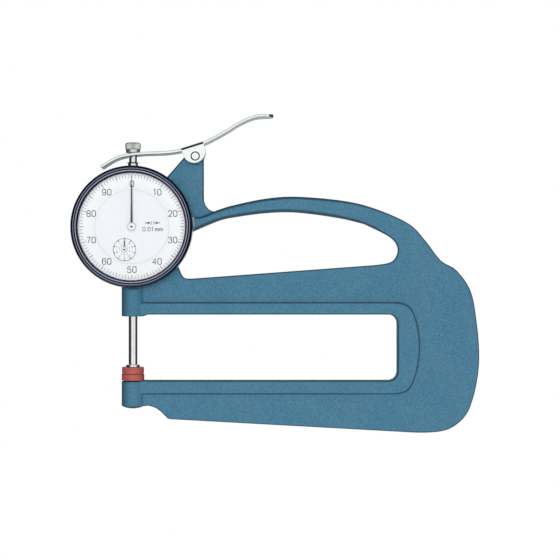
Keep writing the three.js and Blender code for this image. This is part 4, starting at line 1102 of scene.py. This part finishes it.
def lever():
    """Strip of sheet with a slot round the spindle and two ears bent down at the pivot."""
    front, thumb = lever_line()
    top = curve_through([*front, *thumb])
    under = []
    for i, (x, z) in enumerate(top):
        ax, az = top[max(0, i - 1)]
        bx, bz = top[min(len(top) - 1, i + 1)]
        length = math.hypot(bx - ax, bz - az)
        under.append((x + SHEET * (bz - az) / length, z - SHEET * (bx - ax) / length))
    strip = plate("lever_strip", [*under, *reversed(top)], -LEVER_HALF, LEVER_HALF, SHEET_ROUND)
    left = LEVER_LOW.x - TIP_MARGIN
    right = LEVER_HIGH.x
    nose = LEVER_NOSE_CORNER
    plan = [
        *arc(left + nose, -LEVER_HALF + nose, nose, 180, 270),
        *arc(right - LEVER_CORNER, -LEVER_HALF + LEVER_CORNER, LEVER_CORNER, 270, 360),
        *arc(right - LEVER_CORNER, LEVER_HALF - LEVER_CORNER, LEVER_CORNER, 0, 90),
        *arc(left + nose, LEVER_HALF - nose, nose, 90, 180),
    ]
    combine("INTERSECT", strip, [slab("lever_plan", plan, LEVER_LOW.z - 5, LEVER_HIGH.z + 5, "Z")])
    ax, az = front[-1]
    bx, bz = thumb[0]
    lean = math.atan2(bz - az, bx - ax)
    ear_x = PIVOT_X + EAR_SHIFT[0]
    ear_z = PIVOT_Z + EAR_SHIFT[1]
    tilt = math.degrees(lean)
    half_round = arc(ear_x, ear_z, EAR_RADIUS, tilt + 180, tilt + 360, 28)
    rise = (az - ear_z) * math.cos(lean) - (ax - ear_x) * math.sin(lean)
    ear_top = rise - SADDLE_CHAMFER
    up_x, up_z = -ear_top * math.sin(lean), ear_top * math.cos(lean)
    ear = [*half_round, (half_round[-1][0] + up_x, half_round[-1][1] + up_z),
           (half_round[0][0] + up_x, half_round[0][1] + up_z)]
    ears = [plate("ear", ear, side, side + EAR_SHEET, EAR_ROUND)
            for side in (-LEVER_HALF, LEVER_HALF - EAR_SHEET)]
    foot, top = rise - SADDLE_DEPTH, rise + SADDLE_LIFT
    corner = Vector((half_round[0][0], 0, half_round[0][1]))
    up = Vector((-math.sin(lean), 0, math.cos(lean)))
    along = Vector((math.cos(lean), 0, math.sin(lean))) * 2 * EAR_RADIUS

    def across(name, section):
        places = [corner + up * height + Vector((0, y, 0)) for y, height in section]
        return prism(name, places, along)

    ears.append(across("saddle", [
        (-LEVER_HALF, foot), (-LEVER_HALF, top), (LEVER_HALF, top), (LEVER_HALF, foot)]))
    outside = LEVER_HALF + 0.5
    chamfers = [across("chamfer", [
        (side * outside, top - SADDLE_CHAMFER - 0.5), (side * outside, top + 0.5),
        (side * (LEVER_HALF - SADDLE_CHAMFER - 0.5), top + 0.5)]) for side in (-1, 1)]
    low = SLOT_SHIFT - SLOT_HALF_LENGTH + SLOT_HALF_WIDTH
    high = SLOT_SHIFT + SLOT_HALF_LENGTH - SLOT_HALF_WIDTH
    rounds = [place for x, *turn in ((high, -90, 90), (low, 90, 270))
              for place in arc(x, 0, SLOT_HALF_WIDTH, *turn, 12)]
    slot = slab("slot", rounds, heights("upper_bush")[1], heights("lifting_knob")[0] + 1, "Z")
    pin_bore = turned("pin_bore", bar(PIN_BORE, -LEVER_HALF - 1, LEVER_HALF + 1), PIVOT, steps=48)
    piece = cut(join(strip, *ears), *chamfers, slot, pin_bore)
    dress(smooth_faces(piece), "lever_body", "lever_nickel", NICKEL, "lifting_lever")


def lever_pivot():
    """Headed pin through the ears, with a plain washer on each side of the post."""
    end = depths("lever_pivot_pin")[1]
    face = LEVER_HALF + PIN_GAP
    half = [(PIN_SHANK, face), (PIN_HEAD, face), (PIN_HEAD, end - PIN_RIM), (PIN_CROWN, end),
            (0, end)]
    profile = [*((radius, -depth) for radius, depth in reversed(half)), *half]
    round_piece("pivot_pin", profile, "frame", "steel", NICKEL, "lever_pivot_pin", edge=0.01,
                centre=PIVOT, steps=64)
    for name in ("pivot_washer_front", "pivot_washer_rear"):
        profile = tube(WASHER_BORE, radius_of(name), *depths(name))
        round_piece(name.replace("pivot_", "plain_"), profile, "frame", "steel", STEEL, name,
                    edge=0.06, centre=PIVOT, steps=64)


lever()
lever_pivot()


# Bezel, glass and dial


def bezel():
    """Two rounded rings with a groove between them, and a plain skirt."""
    front = BEZEL_FRONT
    outer = BEZEL_RADIUS
    bore = radius_of("crystal") + GLASS_GAP
    lip_back = depths("crystal")[0] - SEAT_GAP

    def bead(place, last):
        radius, depth, size = place
        turns = [math.radians(step) for step in range(172, last, -18)]
        return [(radius + size * math.cos(turn), front + depth - size * math.sin(turn))
                for turn in turns]

    profile = [
        (WINDOW_RADIUS, lip_back), (WINDOW_RADIUS, front + WINDOW_LIP), *bead(FIRST_BEAD, 7),
        (BEAD_GROOVE[0], front + BEAD_GROOVE[1]), *bead(SECOND_BEAD, 19),
        *((outer - inset, front + depth) for inset, depth in SHOULDER),
        *((outer - inset, depth) for inset, depth in FINGER_GROOVE),
        (outer, BEZEL_BACK - BEZEL_CHAMFER), (outer - BEZEL_CHAMFER, BEZEL_BACK),
        (bore, BEZEL_BACK), (bore, lip_back)]
    piece = turned("bezel_ring", closed(profile), DIAL_CENTRE, steps=200)
    dress(smooth_faces(piece, 40), "bezel_body", "bezel_black", BLACK, "bezel")


def glass():
    round_piece("dial_glass", bar(radius_of("crystal"), *depths("crystal")), "bezel_body",
                "crystal_glass", GLASS, "crystal", edge=0.12, centre=DIAL_CENTRE, steps=160)


def spacer():
    edge = radius_of("crystal_spacer")
    round_piece("glass_spacer", tube(WINDOW_RADIUS, edge, *depths("crystal_spacer")), "bezel_body",
                "bezel_black", BLACK, "crystal_spacer", edge=0.05, centre=DIAL_CENTRE, steps=160)


def dial_faces():
    """Outer dial that turns with the bezel, round a fixed centre with holes for the arbors."""
    profile = tube(DIAL_JOINT + JOINT_GAP, radius_of("dial_ring"), *depths("dial_ring"))
    round_piece("dial_outer", profile, "bezel_body", "dial_white", WHITE, "dial_ring", edge=0.04,
                centre=DIAL_CENTRE, steps=160)
    holes = [circle(0, DIAL_HEIGHT, HAND_HOLE, 32), circle(COUNTER_X, COUNTER_Z, COUNTER_HOLE, 32)]
    rim = circle(0, DIAL_HEIGHT, DIAL_JOINT, 160)
    piece = plate("dial_inner", rim, *depths("dial_centre"), 0.04, holes, segments=1)
    dress(smooth_faces(piece), "frame", "dial_white", WHITE, "dial_centre")


def ticks(name, first, last, width, count, centre, body, finish, layer=1.0):
    """One tick, drawn once and spun round the dial."""
    x, z = centre
    half = width / 2
    outline = oblong(x - half, x + half, z + first, z + last)
    piece = slab(name, outline, DIAL_FRONT - INK * layer, DIAL_FRONT + INK)
    bpy.ops.object.mode_set(mode="EDIT")
    bpy.ops.mesh.select_all(action="SELECT")
    bpy.ops.mesh.spin(steps=count, dupli=True, angle=2 * math.pi, center=(x, DIAL_FRONT, z),
                      axis=(0, 1, 0))
    weld()
    bpy.ops.object.mode_set(mode="OBJECT")
    return dress(piece, body, "dial_white", finish)


def rounded(corners):
    """Points of a pen's path, with each corner turned as far as it says."""
    loop = corners[-1] == "loop"
    corners = corners[:-1] if loop else corners
    path = []
    for i, (x, z, turn) in enumerate(corners):
        here = Vector((x, z))
        if not turn:
            path.append(here)
            continue
        before = Vector(corners[i - 1][:2])
        after = Vector(corners[(i + 1) % len(corners)][:2])
        first = here + (before - here).normalized() * turn
        last = here + (after - here).normalized() * turn
        path.extend(first.lerp(here, t).lerp(here.lerp(last, t), t) for t in CORNER_STEPS)
    if loop:
        foot = (Vector(corners[0][:2]) + Vector(corners[1][:2])) / 2
        gap = Vector((LOOP_GAP, 0))
        turn = len(CORNER_STEPS)
        path = [foot + gap, *path[turn:], *path[:turn], foot - gap]
    return path


def pen_stroke(path):
    """A drawn line of the pen's width."""
    left, right = [], []
    for i, here in enumerate(path):
        before = (here - path[i - 1]).normalized() if i else (path[1] - here).normalized()
        after = (path[i + 1] - here).normalized() if i < len(path) - 1 else before
        way = (before + after).normalized()
        reach = PEN / 2 / max(0.5, way.dot(before))
        across = Vector((-way.y, way.x)) * reach
        left.append(tuple(here + across))
        right.append(tuple(here - across))
    return slab("pen_stroke", [*left, *reversed(right)], -INK, INK)


def figures(name, words, body, finish):
    """Printed words of (text, x, z, height, stretch), from one drawing of each figure."""
    drawn = {}
    pieces = []
    for text, x, z, height, wide in words:
        pitches = [NARROW.get(character, FIGURE_PITCH) * wide for character in text]
        place = -sum(pitches) / 2
        for character, pitch in zip(text, pitches):
            if character not in drawn:
                upside_down = character == "9"
                paths = FIGURES["6" if upside_down else character]
                first, *others = (pen_stroke(rounded(path)) for path in paths)
                drawn[character] = join(first, *others)
                only(first)
                bpy.ops.object.transform_apply(location=True, rotation=True, scale=True)
                if upside_down:
                    first.rotation_euler = (0, math.pi, 0)
                    bpy.ops.object.transform_apply(location=True, rotation=True, scale=True)
            only(drawn[character])
            bpy.ops.object.duplicate()
            copy = bpy.context.object
            copy.scale = (height * wide, 1, height)
            copy.location = (x + (place + pitch / 2) * height, DIAL_FRONT, z)
            bpy.ops.object.transform_apply(location=True, rotation=True, scale=True)
            pieces.append(copy)
            place += pitch
    for drawing in drawn.values():
        bpy.data.objects.remove(drawing)
    return dress(gather(name, pieces), body, "dial_white", finish)


def dial_print():
    """Scale and numbers on the outer dial, and resolution and counter on the fixed centre."""
    centre = (0, DIAL_HEIGHT)
    ticks("short_ticks", SHORT_TICK, TICK_END, SHORT_TICK_WIDTH, 100, centre, "bezel_body",
          PALE_INK)
    ticks("long_ticks", LONG_TICK, TICK_END, LONG_TICK_WIDTH, 20, centre, "bezel_body",
          GREY_INK, 1.5)
    figures("dial_numbers", [
        (str(10 * i), *around(NUMBER_RADIUS, 90 - 36 * i), NUMBER_HEIGHT, 1.0) for i in range(10)
    ], "bezel_body", GREY_INK)
    words = [(word, MARK_X + x, DIAL_HEIGHT - WORDS_DROP, *size) for word, x, *size in WORDS]
    figures("resolution_words", words, "frame", BLACK_INK)
    level = DIAL_HEIGHT + MARK_RISE
    place, half, tall = STROKE
    marks = []
    for way in (-1, 1):
        middle = MARK_X + way * place
        stroke = oblong(middle - half, middle + half, level - tall, level + tall)
        arrow = [(MARK_X + way * x, level + z) for x, z in ARROW]
        marks.append(slab("stroke", stroke, DIAL_FRONT - INK, DIAL_FRONT + INK))
        marks.append(slab("arrow", arrow, DIAL_FRONT - INK, DIAL_FRONT + INK))
    dress(gather("resolution_mark", marks), "frame", "dial_white", BLACK_INK)
    inside, outside, wide = COUNTER_DOT
    ticks("counter_dots", COUNTER_SCALE - inside, COUNTER_SCALE + outside, wide, 10,
          (COUNTER_X, COUNTER_Z), "frame", BLACK_INK, 1.5)
    half = COUNTER_LINE / 2
    line = tube(COUNTER_SCALE - half, COUNTER_SCALE + half, DIAL_FRONT - INK, DIAL_FRONT + INK)
    dress(turned("counter_circle", line, COUNTER, steps=72), "frame", "dial_white", GREY_INK)
    digits = []
    for i in range(10):
        turn = math.radians(90 + 36 * i)
        for figure, (radius, height) in ((i, COUNTER_DIGITS), (-i % 10, COUNTER_INNER_DIGITS)):
            x, z = COUNTER_X + radius * math.cos(turn), COUNTER_Z + radius * math.sin(turn)
            digits.append((str(figure), x, z, height, 1.0))
    figures("counter_digits", digits, "frame", GREY_INK)


def hands():
    """Long hand and counter hand, each with its hub and the fine line round it."""
    front, back = depths("main_pointer")
    reach = heights("main_pointer")[1]
    wide = DIAL_HEIGHT + BLADE_REACH
    foot = DIAL_HEIGHT - 0.4
    half = [(0.3, wide), (0.14, wide + 0.3), (0.12, reach - 0.3)]
    blade = [(-0.5, foot), (0.5, foot), *half, (0, reach), *((-x, z) for x, z in reversed(half))]
    hand = plate("main_hand", blade, front, front + BLADE_DEPTH, 0.05, segments=1)
    boss = turned("hand_boss", tube(HUB_BORE, 1.0, front, back), DIAL_CENTRE, steps=32)
    bore = turned("hand_bore", bar(HUB_BORE, front - 1, back + 1), DIAL_CENTRE, steps=32)
    piece = smooth_faces(join(cut(hand, bore), boss))
    dress(piece, "centre_body", "pointer_black", BLACK_INK, "main_pointer")
    front, back = depths("pointer_hub")
    hub = radius_of("pointer_hub")
    round_piece("hand_hub", tube(HUB_BORE, hub, front, back), "centre_body", "hub_white", HUB_WHITE,
                "pointer_hub", edge=0.1, centre=DIAL_CENTRE, steps=64)
    rim = tube(hub - 0.24, hub - 0.1, front - INK, front + INK)
    dress(turned("hub_rim", rim, DIAL_CENTRE, steps=64), "centre_body", "hub_white", GREY_INK)
    front, back = depths("counter_pointer")
    reach = heights("counter_pointer")[1]
    blade = [(COUNTER_X + x, z) for x, z in (
        (-0.3, COUNTER_Z), (0.3, COUNTER_Z), (0.24, reach - 0.3), (0.08, reach - 0.1),
        (-0.08, reach - 0.1), (-0.24, reach - 0.3))]
    hand = plate("counter_hand", blade, front, back, 0.04, segments=1)
    boss = turned("counter_boss", bar(0.6, front, back), COUNTER, steps=32)
    piece = smooth_faces(join(hand, boss))
    dress(piece, "counter_body", "pointer_black", BLACK_INK, "counter_pointer")
    face = front - HUB_STEP
    round_piece("counter_hub", tube(0.45, COUNTER_HUB, face, front), "counter_body", "hub_white",
                HUB_WHITE, edge=0.03, centre=COUNTER, steps=48)
    rim = tube(COUNTER_HUB - 0.16, COUNTER_HUB - 0.04, face - INK, face + INK)
    dress(turned("counter_hub_rim", rim, COUNTER, steps=48), "counter_body", "hub_white", GREY_INK)


bezel()
glass()
spacer()
dial_faces()
dial_print()
hands()


# Case back


def case_back():
    """Back cover with a raised land and a turned groove, held by four slotted screws."""
    front, back = depths("back_cover")
    edge = radius_of("back_cover")
    sheet = front + COVER_SHEET
    groove = back - COVER_GROOVE
    land = COVER_LAND
    round_piece("case_cover", [
        (0, front), (edge, front), (edge, sheet - 0.5), (edge - 0.5, sheet), (land + 0.7, sheet),
        (land, back), (land - 1.2, back), (land - 1.5, groove), (land - 1.9, groove),
        (land - 2.2, back), (0, back)],
        "frame", "cover_black", COVER_BLACK, "back_cover", edge=0.12, centre=DIAL_CENTRE, steps=160)
    names = [f"back_cover_screw_{i}" for i in range(1, 5)]
    low, high = span(names[0])
    x, z = (low.x + high.x) / 2, (low.z + high.z) / 2
    head = (high.x - low.x) / 2
    seat = high.y - SCREW_HEAD
    screw = turned("cover_screw", [
        (0, low.y), (SCREW_SHANK, low.y), (SCREW_SHANK, seat), (head, seat), (head, high.y - 0.15),
        (head - 0.25, high.y), (0, high.y)], (x, 0, z), steps=48)
    soften(screw, 0.06)
    slot = oblong(x - 2, x + 2, z - SCREW_SLOT, z + SCREW_SLOT)
    cut(screw, slab("screw_slot", slot, high.y - SCREW_SLOT_DEPTH, high.y + 1))
    smooth_faces(screw)
    for i, name in enumerate(names):
        only(screw)
        bpy.ops.object.duplicate()
        copy = bpy.context.object
        copy.name = f"cover_screw_{i + 1}"
        low, high = span(name)
        copy.location += Vector(((low.x + high.x) / 2 - x, 0, (low.z + high.z) / 2 - z))
        dress(copy, "frame", "steel", STEEL, name)
    bpy.data.objects.remove(screw)


case_back()


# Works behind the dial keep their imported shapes

WORKS = {
    BRASS: ("movement_front_plate", "movement_rear_plate", "first_wheel", "hairspring_wheel",
            "rear_cock", "hairspring_stud", "plate_pillar_1", "plate_pillar_2", "plate_pillar_3"),
    STEEL: ("plate_screw_1", "plate_screw_2", "plate_screw_3", "rear_cock_screw", "guide_rail",
            "spring_post", "guide_pin", "hairspring_arbor", "return_spring", "hairspring",
            "bezel_retaining_ring"),
    DARK_STEEL: ("rack_pinion", "centre_pinion"),
}
for finish, names in WORKS.items():
    for name in names:
        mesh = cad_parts[name].data
        mesh.materials.clear()
        mesh.materials.append(finish)


# Floor, light and camera


def pale_floor():
    """Pale round floor that fades out into the white surroundings."""
    bpy.ops.object.select_all(action="DESELECT")
    bpy.ops.mesh.primitive_circle_add(vertices=96, radius=FLOOR_RADIUS, fill_type="NGON",
                                      location=(0, 0, FLOOR_DEPTH))
    floor = bpy.context.object
    floor.name = "floor"
    only(floor)
    bpy.ops.object.transform_apply(location=True, rotation=True, scale=True)
    f = Finish("pale_floor")
    left, deep, _ = f.sides()
    far = f.ease((left ** 2 + deep ** 2) ** 0.5, *FLOOR_FADE)
    matt = f.node("ShaderNodeBsdfDiffuse", {}, {"Color": (0.93, 0.93, 0.93, 1)})
    clear = f.node("ShaderNodeBsdfTransparent")
    mixed = f.node("ShaderNodeMixShader", {}, {0: far, 1: matt, 2: clear})
    f.end_in("ShaderNodeOutputMaterial", mixed)
    floor.data.materials.append(f.material)


def surroundings():
    """White to the camera and the metal, with a dark band beside and above the object."""
    world = bpy.data.worlds.new("studio")
    bpy.context.scene.world = world
    f = Shading(world)
    way = f.node("ShaderNodeTexCoord", output="Generated")
    right = f.node("ShaderNodeSeparateXYZ", {}, {0: way}, output="X")
    back = right.of("Y")
    band = f.ease(back - right * 0.22, -0.86, -0.38) * f.ease(back, 0.9, 0.97, 1.0, 0.0)
    post = (back < 0.0) * f.ease(abs(right - 0.26), 0.05, 0.12, 0.45, 0.0)
    mirrored = 1 - band.or_more(post) * 0.96
    seen = f.node("ShaderNodeLightPath", output="Is Camera Ray")
    glossy = seen.of("Is Glossy Ray")
    plain = seen.or_more(seen.of("Is Transmission Ray")).or_more(0.32)
    strength = glossy * mirrored + (1 - glossy) * plain
    light = f.node("ShaderNodeBackground", {}, {"Color": (1, 1, 1, 1), "Strength": strength})
    f.end_in("ShaderNodeOutputWorld", light)


def lamp(name, place, size, power):
    """Square lamp aimed at the middle of the object, which the metal doesn't mirror."""
    bpy.ops.object.light_add(type="AREA", location=place)
    light = bpy.context.object
    light.name = name
    light.data.shape = "SQUARE"
    light.data.size = size
    light.data.energy = power
    light.visible_glossy = False
    light.rotation_euler = (Vector(LAMP_AIM) - Vector(place)).to_track_quat("-Z", "Y").to_euler()


def camera():
    bpy.ops.object.camera_add(
        location=ORIGIN + Vector((VIEW_EYE[0], -VIEW_DISTANCE, VIEW_EYE[1])) * MM,
        rotation=(math.pi / 2, 0, 0))
    view = bpy.context.object
    view.data.sensor_width = SENSOR
    view.data.lens = SENSOR * VIEW_DISTANCE / VIEW_WIDTH
    view.data.shift_x = (VIEW_CENTRE[0] - VIEW_EYE[0]) / VIEW_WIDTH
    view.data.shift_y = (VIEW_CENTRE[1] - VIEW_EYE[1]) / VIEW_WIDTH
    view.data.clip_start = 0.01
    bpy.context.scene.camera = view


pale_floor()
surroundings()
for name, settings in LAMPS.items():
    lamp(name, *settings)
camera()
bpy.context.scene.view_settings.view_transform = "Standard"
